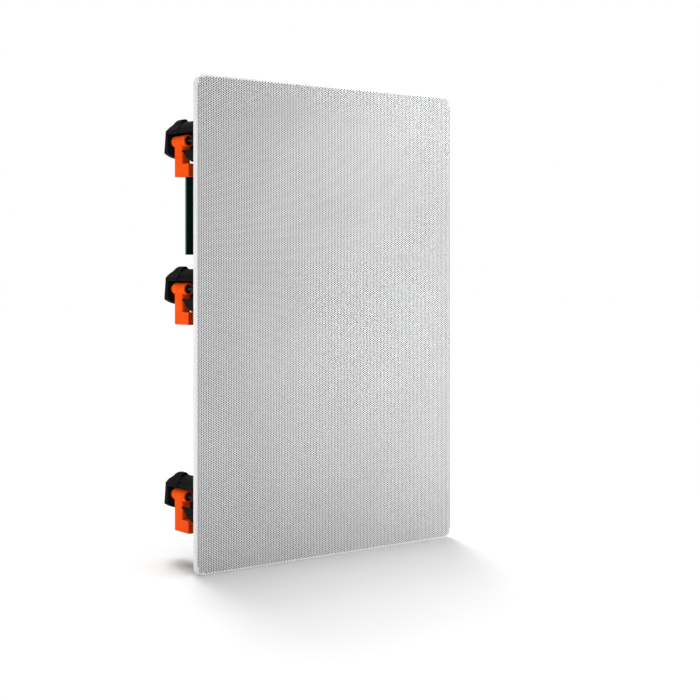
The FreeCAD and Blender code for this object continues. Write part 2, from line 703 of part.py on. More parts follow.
def clamp_tower():
    """The moulded tower that carries the screw's two ends and houses the parked dog."""
    boss = cylinder(BOSS_RADIUS, DOG_REAR + BOSS_GAP, TOWER_REAR - TOWER_REAR_WALL / 2)
    ear = box(
        TOWER_INNER, TOWER_INNER + EAR_WIDTH, 0, EAR_THICKNESS, -EAR_HALF_HEIGHT, EAR_HALF_HEIGHT
    )
    body = tower_shell().fuse([tower_fin(), boss, ear])
    seat = SCREW_HEAD_SINK + SCREW_HEAD_THICKNESS + SCREW_HEAD_GAP
    holes = [
        cylinder(SCREW_HEAD_RADIUS + CLEARANCE, -1, seat),
        cylinder(SCREW_RADIUS + RUNNING_FIT, -1, TOWER_BASE + 1),
        cylinder(SCREW_RADIUS + RUNNING_FIT, DOG_REAR, SCREW_TIP + CLEARANCE),
    ]
    holes += [cylinder(SMALL_SCREW_RADIUS, -1, EAR_THICKNESS + 1, x, z) for x, z in ear_holes()]
    return body.cut(holes).removeSplitter()


def small_screw(y_seat, grip, x, z, towards_front=True):
    """A pan-head screw whose head sits on y_seat and whose shank reaches grip beyond it."""
    way = -1.0 if towards_front else 1.0
    head_end = y_seat - way * SMALL_HEAD_THICKNESS
    head = cylinder(SMALL_HEAD_RADIUS, min(y_seat, head_end), max(y_seat, head_end), x, z)
    shank_end = y_seat + way * grip
    shank = cylinder(SMALL_SCREW_RADIUS, min(y_seat, shank_end), max(y_seat, shank_end), x, z)
    return head.fuse(shank)


def tower_fixing_screws():
    grip = EAR_THICKNESS + SMALL_SCREW_GRIP
    screws = []
    for _, x, z, turn in clamp_places():
        for hx, hz in ear_holes():
            screws.append(set_in_place(small_screw(EAR_THICKNESS, grip, hx, hz), x, z, turn))
    return Part.makeCompound(screws)


def woofer_screw_places():
    circle = WOOFER_RADIUS - WOOFER_SCREW_INSET
    return around(WOOFER_SCREW_COUNT, circle, 0, WOOFER_Z, 180.0 / WOOFER_SCREW_COUNT)


def tweeter_screw_places():
    circle = TWEETER_RADIUS - TWEETER_SCREW_INSET
    return around(TWEETER_SCREW_COUNT, circle, 0, TWEETER_Z, 45.0)


def basket_windows():
    """Sector openings between the basket's arms."""
    half = math.radians(WINDOW_ANGLE / 2)
    inner = BASKET_FLOOR_RADIUS + WINDOW_MARGIN_INNER
    outer = BASKET_STEP_RADIUS - WINDOW_MARGIN_OUTER
    cuts = []
    for i in range(WINDOW_COUNT):
        middle = 2 * math.pi * i / WINDOW_COUNT
        points = []
        for radius, angle in (
            (inner, -half), (inner, 0), (inner, half), (outer, half), (outer, 0), (outer, -half),
        ):
            turn = middle + angle
            points.append(Vector(radius * math.sin(turn), BASKET_STEP - 4, radius * math.cos(turn)))
        edges = [
            Part.Arc(points[0], points[1], points[2]).toShape(),
            Part.LineSegment(points[2], points[3]).toShape(),
            Part.Arc(points[3], points[4], points[5]).toShape(),
            Part.LineSegment(points[5], points[0]).toShape(),
        ]
        window = Part.Face(Part.Wire(edges)).extrude(Vector(0, BASKET_FLOOR - BASKET_STEP, 0))
        cuts.append(window)
    return cuts


def woofer_basket():
    wall = BASKET_WALL
    throat = WOOFER_HOLE_RADIUS - WOOFER_HOLE_GAP
    rim_inner = WOOFER_RADIUS - RIM_WIDTH
    floor_front = BASKET_FLOOR - wall
    points = [
        (WOOFER_RADIUS, RIM_FRONT),
        (WOOFER_RADIUS, BAFFLE_FRONT),
        (throat, BAFFLE_FRONT),
        (BASKET_STEP_RADIUS, BASKET_STEP),
        (BASKET_FLOOR_RADIUS + wall, SPIDER_SHELF + 3 * wall),
        (BASKET_FLOOR_RADIUS, BASKET_FLOOR),
        (COIL_RADIUS + COIL_GAP + 6.0, BASKET_FLOOR),
        (COIL_RADIUS + COIL_GAP + 6.0, floor_front),
        (BASKET_FLOOR_RADIUS - 2 * wall, floor_front),
        (SPIDER_OUTER - SPIDER_LIP, SPIDER_SHELF + wall),
        (SPIDER_OUTER - SPIDER_LIP, SPIDER_SHELF),
        (BASKET_FLOOR_RADIUS + 1.5 * wall, SPIDER_SHELF),
        (BASKET_STEP_RADIUS - wall, BASKET_STEP - wall),
        (rim_inner, BAFFLE_FRONT),
        (rim_inner, RIM_FRONT),
    ]
    basket = turned_outline(points).cut(basket_windows())
    basket.translate(Vector(0, 0, WOOFER_Z))
    lug_top = WOOFER_Z + BASKET_STEP_RADIUS + TERMINAL_STRIP_HEIGHT
    lug_rear = terminal_lug_rear()
    lug = box(
        -TERMINAL_LUG_WIDTH / 2, TERMINAL_LUG_WIDTH / 2, lug_rear - wall, lug_rear,
        WOOFER_Z + BASKET_STEP_RADIUS - wall, lug_top,
    )
    basket = basket.fuse(lug)
    holes = [
        cylinder(WOOFER_SCREW_RADIUS, RIM_FRONT - 1, BAFFLE_FRONT + 1, x, z)
        for x, z in woofer_screw_places()
    ]
    return basket.cut(holes)


def driver_screws(places):
    screws = []
    for x, z in places:
        head = tapered(WOOFER_SCREW_HEAD * 0.75, WOOFER_SCREW_HEAD, RIM_FRONT - 1.8, RIM_FRONT, x, z)
        shank = cylinder(WOOFER_SCREW_RADIUS, RIM_FRONT, BAFFLE_FRONT + BAFFLE_THICKNESS, x, z)
        screws.append(head.fuse(shank))
    return Part.makeCompound(screws)


def woofer_surround():
    """A rubber half roll between the rim and the cone."""
    back, front = RIM_FRONT, RIM_FRONT - SURROUND_THICKNESS
    outer, inner = SURROUND_OUTER, SURROUND_OUTER - 2 * SURROUND_ROLL
    middle = (outer + inner) / 2
    skin = SURROUND_THICKNESS
    outside = outer + SURROUND_LIP
    inside = inner - SURROUND_LIP
    crest = front - SURROUND_ROLL
    edges = lines([(outer, front), (outside, front), (outside, back), (outer - skin, back)])
    edges.append(arc((outer - skin, back), (middle, crest + skin), (inner + skin, back)))
    edges += lines([(inner + skin, back), (inside, back), (inside, front), (inner, front)])
    edges.append(arc((inner, front), (middle, crest), (outer, front)))
    return turned(edges, 0, WOOFER_Z)


def woofer_trim_ring():
    back = RIM_FRONT - SURROUND_THICKNESS
    inner = SURROUND_OUTER + 0.2
    outer = SURROUND_OUTER + SURROUND_LIP
    return ring(outer, inner, back - TRIM_RING_THICKNESS, back, 0, WOOFER_Z)


def cone_edge():
    return SURROUND_OUTER - 2 * SURROUND_ROLL


def woofer_cone():
    """A flared paper cone from the surround down to the coil former."""
    neck = COIL_RADIUS
    edge = cone_edge()
    rim_y, neck_y = RIM_FRONT, CONE_NECK_DEPTH
    skin = CONE_THICKNESS
    middle = ((edge + neck) / 2, (rim_y + neck_y) / 2 + CONE_SAG)
    front = arc((edge, rim_y), middle, (neck, neck_y))
    back = arc((neck, neck_y + skin), (middle[0], middle[1] + skin * 1.3), (edge, rim_y + skin))
    edges = [front] + lines([(neck, neck_y), (neck, neck_y + skin)]) + [back]
    edges += lines([(edge, rim_y + skin), (edge, rim_y)])
    return turned(edges, 0, WOOFER_Z)


def cone_front_at(radius):
    """Y of the cone's front face at a radius, on the same arc that woofer_cone draws."""
    neck, edge = COIL_RADIUS, cone_edge()
    a = Vector(edge, RIM_FRONT, 0)
    b = Vector((edge + neck) / 2, (RIM_FRONT + CONE_NECK_DEPTH) / 2 + CONE_SAG, 0)
    c = Vector(neck, CONE_NECK_DEPTH, 0)
    circle = Part.Arc(a, b, c).toShape().Curve
    rise = math.sqrt(circle.Radius ** 2 - (radius - circle.Center.x) ** 2)
    return circle.Center.y + (rise if b.y > circle.Center.y else -rise)


def woofer_dust_cap():
    base = cone_front_at(DUST_CAP_RADIUS)
    skin = DUST_CAP_THICKNESS
    half = DUST_CAP_RADIUS
    sphere = (half ** 2 + DUST_CAP_RISE ** 2) / (2 * DUST_CAP_RISE)
    centre = base - DUST_CAP_RISE + sphere
    middle = half / 2
    outer_mid = centre - math.sqrt(sphere ** 2 - middle ** 2)
    edges = [arc((half, base), (middle, outer_mid), (0, base - DUST_CAP_RISE))]
    edges += lines([(0, base - DUST_CAP_RISE), (0, base - DUST_CAP_RISE + skin)])
    edges.append(arc((0, base - DUST_CAP_RISE + skin), (middle, outer_mid + skin), (half - skin, base)))
    edges += lines([(half - skin, base), (half, base)])
    return turned(edges, 0, WOOFER_Z)


def woofer_voice_coil():
    """The paper former with the copper winding in the magnet's gap."""
    inner = COIL_RADIUS - COIL_FORMER
    points = [
        (inner, CONE_NECK_DEPTH),
        (COIL_RADIUS, CONE_NECK_DEPTH),
        (COIL_RADIUS, COIL_FRONT),
        (COIL_RADIUS + COIL_WIRE, COIL_FRONT),
        (COIL_RADIUS + COIL_WIRE, COIL_REAR),
        (inner, COIL_REAR),
    ]
    return turned_outline(points, 0, WOOFER_Z)


def woofer_spider():
    """A corrugated cloth disc that centres the coil."""
    inner = COIL_RADIUS
    start = inner + SPIDER_LIP
    end = SPIDER_OUTER - SPIDER_LIP
    step = (end - start) / (2 * SPIDER_WAVES)
    front = SPIDER_SHELF - SPIDER_THICKNESS
    ridge = [
        (start + i * step, front - (SPIDER_WAVE if i % 2 else 0.0))
        for i in range(2 * SPIDER_WAVES + 1)
    ]
    top = [(inner, front)] + ridge + [(SPIDER_OUTER, front)]
    bottom = [(r, y + SPIDER_THICKNESS) for r, y in reversed(top)]
    return turned_outline(top + bottom, 0, WOOFER_Z)


def woofer_front_plate():
    inner = COIL_RADIUS + COIL_WIRE + COIL_GAP
    outer = MAGNET_RING_RADIUS - FRONT_PLATE_INSET
    return ring(outer, inner, BASKET_REAR, MAGNET_FRONT, 0, WOOFER_Z)


def woofer_magnet():
    return ring(MAGNET_RING_RADIUS, MAGNET_RING_INNER, MAGNET_FRONT, MAGNET_REAR, 0, WOOFER_Z)


def woofer_yoke():
    """Back plate and vented pole, turned from one piece of steel."""
    pole = COIL_RADIUS - COIL_FORMER - COIL_GAP
    outer = MAGNET_RING_RADIUS - BACK_PLATE_INSET
    points = [
        (VENT_RADIUS, BASKET_REAR),
        (pole, BASKET_REAR),
        (pole, MAGNET_REAR),
        (outer, MAGNET_REAR),
        (outer, YOKE_REAR - 1.5),
        (outer - 1.5, YOKE_REAR),
        (VENT_RADIUS + 3.0, YOKE_REAR),
        (VENT_RADIUS, YOKE_REAR - 3.0),
    ]
    return turned_outline(points, 0, WOOFER_Z)


def terminal_lug_rear():
    """Y of the basket lug's rear face, which the tag strip sits on."""
    return BASKET_STEP


def woofer_terminals():
    """A tag strip on the basket's upper lug, with two solder tags."""
    y = terminal_lug_rear()
    low = WOOFER_Z + BASKET_STEP_RADIUS + CLEARANCE
    half = TERMINAL_STRIP_WIDTH / 2
    rear = y + TERMINAL_STRIP_THICKNESS
    strip = box(-half, half, y, rear, low, low + TERMINAL_STRIP_HEIGHT)
    width, thick, length = TERMINAL_TAB
    tabs = [
        box(x - width / 2, x + width / 2, rear, rear + thick, low + 1, low + 1 + length)
        for x in (-TERMINAL_SPREAD, TERMINAL_SPREAD)
    ]
    return strip.fuse(tabs).removeSplitter()


def tweeter_faceplate():
    """A shallow waveguide with a short skirt behind it."""
    throat, depth = TWEETER_THROAT_RADIUS, TWEETER_THROAT_DEPTH
    mouth = TWEETER_RADIUS - TWEETER_MOUTH_INSET
    body = TWEETER_BODY_RADIUS
    bend = (throat + (mouth - throat) * 0.36, RIM_FRONT + (depth - RIM_FRONT) * 0.36)
    edges = [arc((mouth, RIM_FRONT), bend, (throat, depth))]
    edges += lines([
        (throat, depth),
        (throat, TWEETER_BACK),
        (body, TWEETER_BACK),
        (body, BAFFLE_FRONT),
        (TWEETER_RADIUS, BAFFLE_FRONT),
        (TWEETER_RADIUS, RIM_FRONT),
        (mouth, RIM_FRONT),
    ])
    plate = turned(edges, 0, TWEETER_Z)
    holes = [
        cylinder(WOOFER_SCREW_RADIUS, RIM_FRONT - 1, BAFFLE_FRONT + 1, x, z)
        for x, z in tweeter_screw_places()
    ]
    return plate.cut(holes)


def tweeter_dome():
    base = TWEETER_BACK - DOME_THICKNESS
    half, skin = DOME_RADIUS, DOME_THICKNESS
    sphere = (half ** 2 + DOME_RISE ** 2) / (2 * DOME_RISE)
    centre = base - DOME_RISE + sphere
    middle = half / 2
    outer_mid = centre - math.sqrt(sphere ** 2 - middle ** 2)
    lip = half + DOME_LIP
    edges = [arc((half, base), (middle, outer_mid), (0, base - DOME_RISE))]
    edges += lines([(0, base - DOME_RISE), (0, base - DOME_RISE + skin)])
    edges.append(arc((0, base - DOME_RISE + skin), (middle, outer_mid + skin), (half - skin, base + skin)))
    edges += lines([(half - skin, base + skin), (lip, base + skin), (lip, base), (half, base)])
    return turned(edges, 0, TWEETER_Z)


def tweeter_coil():
    outer = TWEETER_COIL_RADIUS
    return ring(outer, outer - COIL_FORMER, TWEETER_BACK, TWEETER_BACK + TWEETER_COIL_LENGTH, 0, TWEETER_Z)


def tweeter_plate():
    inner = TWEETER_COIL_RADIUS + COIL_GAP
    rear = TWEETER_BACK + TWEETER_PLATE_THICKNESS
    return ring(TWEETER_BODY_RADIUS, inner, TWEETER_BACK, rear, 0, TWEETER_Z)


def tweeter_magnet():
    front = TWEETER_BACK + TWEETER_PLATE_THICKNESS
    rear = front + TWEETER_MAGNET_THICKNESS
    inner = TWEETER_COIL_RADIUS + TWEETER_MAGNET_GAP
    return ring(TWEETER_BODY_RADIUS, inner, front, rear, 0, TWEETER_Z)


def tweeter_yoke():
    plate_front = TWEETER_BACK + TWEETER_PLATE_THICKNESS + TWEETER_MAGNET_THICKNESS
    rear = plate_front + TWEETER_YOKE_THICKNESS
    pole = TWEETER_COIL_RADIUS - COIL_FORMER - COIL_GAP
    vent = pole / 3
    points = [
        (vent, TWEETER_BACK),
        (pole, TWEETER_BACK),
        (pole, plate_front),
        (TWEETER_BODY_RADIUS, plate_front),
        (TWEETER_BODY_RADIUS, rear),
        (vent, rear),
    ]
    return turned_outline(points, 0, TWEETER_Z)


def tweeter_chamber():
    """The closed cup behind the magnet."""
    front = (TWEETER_BACK + TWEETER_PLATE_THICKNESS + TWEETER_MAGNET_THICKNESS
             + TWEETER_YOKE_THICKNESS)
    rear = front + TWEETER_CHAMBER_DEPTH
    wall, radius = TWEETER_CHAMBER_WALL, TWEETER_CHAMBER_RADIUS
    points = [
        (radius - wall, front),
        (radius, front),
        (radius, rear - wall),
        (radius - wall, rear),
        (0, rear),
        (0, rear - wall),
        (radius - wall, rear - wall),
    ]
    return turned_outline(points, 0, TWEETER_Z)


def large_coil_place():
    x, z = LARGE_COIL_FROM_CORNER
    return x - BOARD_HALF_WIDTH, BOARD_BOTTOM + z


def small_coil_place():
    x, z = SMALL_COIL_FROM_CORNER
    return BOARD_HALF_WIDTH - x, BOARD_BOTTOM + z


def resistor_places():
    left = BOARD_HALF_WIDTH - RESISTOR_FROM_SIDE - RESISTOR_SIZE[0]
    return [(left, BOARD_BOTTOM + z) for z in RESISTOR_FROM_BOTTOM]


def terminal_place():
    x, z = TERMINAL_FROM_CORNER
    return BOARD_HALF_WIDTH - x, BOARD_BOTTOM + z


def crossover_board():
    board = box(
        -BOARD_HALF_WIDTH, BOARD_HALF_WIDTH, BOARD_FRONT, BOARD_REAR, BOARD_BOTTOM, BOARD_TOP
    )
    cuts = [
        cylinder(SMALL_SCREW_RADIUS, BOARD_FRONT - 1, BOARD_REAR + 1, x, z) for x, z in post_places()
    ]
    inside = BOARD_HALF_WIDTH - BOARD_NOTCH[0]
    for x0, x1 in ((-BOARD_HALF_WIDTH - 1, -inside), (inside, BOARD_HALF_WIDTH + 1)):
        cuts.append(
            box(x0, x1, BOARD_FRONT - 1, BOARD_REAR + 1, BOARD_TOP - BOARD_NOTCH[1], BOARD_TOP + 1)
        )
    return board.cut(cuts)


def crossover_screws():
    return Part.makeCompound([
        small_screw(BOARD_REAR, BOARD_THICKNESS + PILOT_DEPTH, x, z) for x, z in post_places()
    ])


def bobbin(place, radius, core, height):
    front, rear = BOARD_REAR, BOARD_REAR + height
    wall = BOBBIN_FLANGE
    points = [
        (core - wall, front),
        (radius, front),
        (radius, front + wall),
        (core, front + wall),
        (core, rear - wall),
        (radius, rear - wall),
        (radius, rear),
        (core - wall, rear),
    ]
    return turned_outline(points, *place)


def winding(place, radius, core, height):
    front, rear = BOARD_REAR + BOBBIN_FLANGE, BOARD_REAR + height - BOBBIN_FLANGE
    return ring(radius - 1.0, core, front, rear, *place)


def inductors(make):
    return Part.makeCompound([
        make(large_coil_place(), LARGE_COIL_RADIUS, LARGE_COIL_CORE, LARGE_COIL_HEIGHT),
        make(small_coil_place(), SMALL_COIL_RADIUS, SMALL_COIL_CORE, SMALL_COIL_HEIGHT),
    ])


def capacitors():
    """Film capacitors that lie on the board, each with a flat under it."""
    y = BOARD_REAR + CAPACITOR_RADIUS
    x1 = resistor_places()[0][0] - CAPACITOR_GAP
    x0 = x1 - CAPACITOR_LENGTH
    rows = [BOARD_BOTTOM + z for z in CAPACITOR_FROM_BOTTOM]
    cans = [
        Part.makeCylinder(CAPACITOR_RADIUS, x1 - x0, Vector(x0, y, z), Vector(1, 0, 0))
        for z in rows
    ]
    feet = [box(x0 + 2, x1 - 2, BOARD_REAR, y, z - 3, z + 3) for z in rows]
    return Part.makeCompound([can.fuse(foot) for can, foot in zip(cans, feet)])


def resistors():
    length, depth, height = RESISTOR_SIZE
    rear = BOARD_REAR + depth
    return Part.makeCompound([
        box(left, left + length, BOARD_REAR, rear, z - height / 2, z + height / 2)
        for left, z in resistor_places()
    ])


def lever_hinge():
    """Y and Z of the levers' pin."""
    depth = TERMINAL_SIZE[1]
    return BOARD_REAR + depth - 2.2, terminal_place()[1] + TERMINAL_SIZE[2] / 2 - 3.0


def terminal_housing():
    length, depth, height = TERMINAL_SIZE
    x, z = terminal_place()
    rear = BOARD_REAR + depth
    body = box(x - length / 2, x + length / 2, BOARD_REAR, rear, z - height / 2, z + height / 2)
    cuts = []
    pin_y, pin_z = lever_hinge()
    for side in (-WIRE_HOLE_SPREAD, WIRE_HOLE_SPREAD):
        cuts.append(
            cylinder(WIRE_HOLE_RADIUS, rear - WIRE_HOLE_DEPTH, rear + 1, x + side, z - height / 2 + 5)
        )
        half = LEVER_WIDTH / 2 + CLEARANCE
        cuts.append(
            box(x + side - half, x + side + half, rear - 6.0, rear + 1,
                pin_z - LEVER_LENGTH - CLEARANCE, z + height / 2 + 1)
        )
    body = body.cut(cuts)
    pins = [
        Part.makeCylinder(
            LEVER_PIN_RADIUS, LEVER_WIDTH + 2 * CLEARANCE,
            Vector(x + side - LEVER_WIDTH / 2 - CLEARANCE, pin_y, pin_z), Vector(1, 0, 0),
        )
        for side in (-WIRE_HOLE_SPREAD, WIRE_HOLE_SPREAD)
    ]
    return body.fuse(pins).removeSplitter()


def terminal_lever(side):
    """A push tab that turns on the housing's pin and opens the wire hole."""
    x = terminal_place()[0] + side
    pin_y, pin_z = lever_hinge()
    half = LEVER_WIDTH / 2
    hub = Part.makeCylinder(
        LEVER_PIN_RADIUS + 1.2, LEVER_WIDTH, Vector(x - half, pin_y, pin_z), Vector(1, 0, 0)
    )
    outer = pin_y + LEVER_PIN_RADIUS + 1.2
    tab = box(x - half, x + half, outer - LEVER_THICKNESS, outer, pin_z - LEVER_LENGTH, pin_z)
    bore = Part.makeCylinder(
        LEVER_PIN_RADIUS + RUNNING_FIT, LEVER_WIDTH + 2, Vector(x - half - 1, pin_y, pin_z), Vector(1, 0, 0)
    )
    return hub.fuse(tab).cut(bore).removeSplitter()


def save(name, shape):
    shape.exportStep(f"parts/{name}.step")


def build():
    os.makedirs("parts", exist_ok=True)
    save("grille", grille())
    save("grille_scrim", grille_scrim())
    save("grille_magnets", grille_magnets())
    save("chassis", chassis())
    save("baffle", baffle())
    save("board_posts", board_posts())
    tower, dog, screw, insert = clamp_tower(), clamp_dog(), clamp_screw(), clamp_insert()
    for name, x, z, turn in clamp_places():
        save(f"clamp_tower_{name}", set_in_place(tower, x, z, turn))
        save(f"clamp_dog_{name}", set_in_place(dog, x, z, turn))
        save(f"clamp_screw_{name}", set_in_place(screw, x, z, turn))
        save(f"clamp_insert_{name}", set_in_place(insert, x, z, turn))
    save("tower_fixing_screws", tower_fixing_screws())
    save("woofer_basket", woofer_basket())
    save("woofer_surround", woofer_surround())
    save("woofer_trim_ring", woofer_trim_ring())
    save("woofer_cone", woofer_cone())
    save("woofer_dust_cap", woofer_dust_cap())
    save("woofer_voice_coil", woofer_voice_coil())
    save("woofer_spider", woofer_spider())
    save("woofer_front_plate", woofer_front_plate())
    save("woofer_magnet", woofer_magnet())
    save("woofer_yoke", woofer_yoke())
    save("woofer_terminals", woofer_terminals())
    save("woofer_screws", driver_screws(woofer_screw_places()))
    save("tweeter_faceplate", tweeter_faceplate())
    save("tweeter_dome", tweeter_dome())
    save("tweeter_coil", tweeter_coil())
    save("tweeter_plate", tweeter_plate())
    save("tweeter_magnet", tweeter_magnet())
    save("tweeter_yoke", tweeter_yoke())
    save("tweeter_chamber", tweeter_chamber())
    save("tweeter_screws", driver_screws(tweeter_screw_places()))
    save("crossover_board", crossover_board())
    save("crossover_screws", crossover_screws())
    save("inductor_bobbins", inductors(bobbin))
    save("inductor_windings", inductors(winding))
    save("capacitors", capacitors())
    save("resistors", resistors())
    save("terminal_housing", terminal_housing())
    save("terminal_lever_red", terminal_lever(-WIRE_HOLE_SPREAD))
    save("terminal_lever_black", terminal_lever(WIRE_HOLE_SPREAD))


build()
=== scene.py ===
import json
import math

import bmesh
import bpy
import numpy as np
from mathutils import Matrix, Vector
from mathutils.geometry import delaunay_2d_cdt


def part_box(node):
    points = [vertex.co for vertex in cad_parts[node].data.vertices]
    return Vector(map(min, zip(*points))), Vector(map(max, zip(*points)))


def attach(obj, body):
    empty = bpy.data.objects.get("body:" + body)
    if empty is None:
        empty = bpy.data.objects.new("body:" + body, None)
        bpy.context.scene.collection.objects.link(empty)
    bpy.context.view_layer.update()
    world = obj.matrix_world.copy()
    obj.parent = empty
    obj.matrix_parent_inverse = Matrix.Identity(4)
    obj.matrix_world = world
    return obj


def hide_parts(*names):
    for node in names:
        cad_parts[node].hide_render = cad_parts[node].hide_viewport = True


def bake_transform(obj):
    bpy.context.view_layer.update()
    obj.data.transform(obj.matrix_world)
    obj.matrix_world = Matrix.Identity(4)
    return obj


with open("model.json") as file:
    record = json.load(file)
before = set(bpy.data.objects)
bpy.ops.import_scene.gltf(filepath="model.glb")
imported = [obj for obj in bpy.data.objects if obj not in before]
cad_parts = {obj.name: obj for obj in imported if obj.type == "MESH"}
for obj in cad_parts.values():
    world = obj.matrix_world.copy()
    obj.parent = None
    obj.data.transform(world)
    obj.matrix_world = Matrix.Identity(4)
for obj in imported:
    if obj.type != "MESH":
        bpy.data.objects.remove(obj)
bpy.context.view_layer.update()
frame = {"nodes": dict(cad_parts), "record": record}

# Metres. X is right seen from the front, Y goes into the wall and Z is up, as in the CAD.
MM = 0.001
PANEL_LOW, PANEL_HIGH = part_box("grille")
PANEL_FRONT = PANEL_LOW.y
FLOOR_Z = PANEL_LOW.z

# Camera
CAMERA_PLACE = (-0.6679, -0.8879, 0.0449)
CAMERA_WAY = (0.6129, 0.7902, 0.0)
CAMERA_SENSOR = 36.0
CAMERA_LENS = 73.9
CAMERA_SHIFT = -0.12475

# Light
FLOOR_REACH = 6.0
ROOM_LIGHT = 0.42
OVERHEAD_LIGHT = 0.85
OVERHEAD_ANGLE = 15
OVERHEAD_HEADING = (0.37, 0.93)
OVERHEAD_HEIGHTS = (57, 71, 85)
SOFTBOXES = {
    # place, the point it faces, width, spread in degrees, power
    "right": ((0.42, -0.42, -0.13), (0.06, 0.0, -0.18), 0.30, 80, 0.52),
    "upper_right": ((0.35, -0.40, 0.45), (0.12, 0.0, 0.20), 0.25, 35, 0.20),
    "left": ((-0.80, 0.00, 0.12), (-0.12, 0.05, 0.00), 0.30, 50, 0.16),
}

# Grille: holes in upright columns, every other column half a pitch higher
HOLE_PITCH = 1.65 * MM
COLUMN_PITCH = HOLE_PITCH * math.sqrt(3) / 2
HOLE_SIDES = 6
HOLE_RADIUS = 0.65 * MM
HOLE_COLUMNS = 170
HOLE_ROWS = 217
HOLE_MARGIN = 0.05 * MM
SHEET = 0.7 * MM
HOLE_DEPTH = 0.45 * MM  # less than the sheet, so that as much cloth shows at a slant as in the photograph
STRIPS = 5
EDGE_ROUND = 1.2 * MM
EDGE_STEPS = 5
HEM_STEPS = 3
HEM_BEVEL = 0.1 * MM
CORNER_STEPS = 8
FLAT_CORNER = 5.8 * MM
FLAT_HALF_WIDTH = (PANEL_HIGH.x - PANEL_LOW.x) / 2 - EDGE_ROUND
FLAT_HALF_HEIGHT = (PANEL_HIGH.z - PANEL_LOW.z) / 2 - EDGE_ROUND

# Woofer
WOOFER_Z = -54.0 * MM
SECTORS = 24
SECTOR_STEPS = 4
SURROUND_OUTER = 92.0 * MM
SURROUND_INNER = 80.0 * MM
SURROUND_LIP = 3.2 * MM
SURROUND_FRONT = 6.2 * MM
SURROUND_SKIN = 0.8 * MM
ROLL_STEPS = 14
ROLL_UNDERSIDE = 0.98  # a little shallower than the roll, so the skin is thickest on its top
SPIDER_INNER = 19.2 * MM
SPIDER_OUTER = 54.0 * MM
SPIDER_LIP = 4.0 * MM
SPIDER_FRONT = 42.4 * MM
SPIDER_SKIN = 0.6 * MM
SPIDER_WAVE = 1.6 * MM
SPIDER_WAVES = 5
WAVE_STEPS = 8

# Clamps, and their screws' thread in millimetres. Its flat top and its flanks are shares of the pitch.
CLAMPS = ("left_top", "right_top", "left_middle", "right_middle", "left_bottom", "right_bottom")
THREAD_DEPTH = 0.32
THREAD_PITCH = 1.6
THREAD_START = 8.0
THREAD_END = 57.0
THREAD_TOP = 7 / 22
THREAD_FLANK = 5 / 22
TURN_STEPS = 8

# Screws, in millimetres: radius and depth behind the head's face, and the recess's length, width and depth
SCREW_SIDES = 24
CLAMP_HEAD = ((2.5, 0.0), (2.95, 0.12), (3.3, 0.5), (3.48, 1.1), (3.5, 2.2), (3.42, 2.3), (1.75, 2.3))
CLAMP_POINT = ((1.3, 57.9), (0.7, 59.2), (0.6, 59.4))
PAN_HEAD = ((1.6, 0.0), (2.0, 0.12), (2.35, 0.45), (2.56, 1.0), (2.6, 1.5), (2.54, 1.6), (1.3, 1.6))
DRIVER_HEAD = ((1.6, 0.0), (2.0, 0.1), (2.4, 0.4), (2.66, 0.95), (2.7, 1.7), (2.62, 1.8), (1.3, 1.8))
CLAMP_RECESS = (4.4, 0.9, 1.3)
SMALL_RECESS = (2.8, 0.6, 0.9)
RECESS_TAPER = 0.7
EAR_INWARD = 16.0  # from a clamp's screw to the two that fix its tower
EAR_RISE = 5.0
TWEETER_Z = 108.0
WOOFER_SCREWS = (98.3, 8, 22.5)  # radius of the circle, number, first angle in degrees
TWEETER_SCREWS = (44.5, 4, 45.0)
BOARD_SCREW_INSET = 2.6

# Crossover, in millimetres
BOARD_FRONT = 64.5
BOARD_REAR = 66.1
WIRE = 1.3
LARGE_COIL = (22.0, 10.0, 67.3, 82.9, 72)  # outer radius, core radius, from y, to y, sides
SMALL_COIL = (13.0, 6.5, 67.3, 76.9, 56)
CAPACITOR_RADIUS = 7.5
CAPACITOR_SIDES = 40
CAPACITOR_END = ((6.2, 0.5), (6.8, 0.5), (6.95, 0.1), (7.15, 0.0), (7.42, 0.12), (7.5, 0.4))
RESISTOR_BEVEL = 0.35
RESISTOR_RECESS = 0.5
RESISTOR_RIM = 0.9
LEAD_RADIUS = 0.45
LEAD_SIDES = 10
LEAD_BEND = 1.4
LEAD_BEND_SHARE = 0.8  # the most of a short lead's reach that its bend takes
LEAD_BEND_STEPS = 6
LEAD_TIP = 0.9
LONG_LEAD = 3.0
SHORT_LEAD = 1.0
SOLDER_CONE = ((1.5, 0.0), (1.4, 0.15), (0.9, 0.45), (0.6, 0.8), (0.3, 0.95))
SOLDER_SIDES = 16
GLUE_INSET = 3.0
GLUE_SECTION = ((-6.2, 0.0), (-5.4, 0.7), (-4.8, 1.7), (4.8, 1.7), (5.4, 0.7), (6.2, 0.0))
GLUE_STATIONS = ((0.0, 0.55), (0.04, 0.85), (0.12, 1.0), (0.88, 1.0), (0.96, 0.85), (1.0, 0.55))
TRACE_WIDTH = 3.2
TRACE_SINK = 0.02
TRACE_HEIGHT = 0.07
TRACE_STEP = 0.006  # each track is a little higher than the one before, so that no two meet in one plane
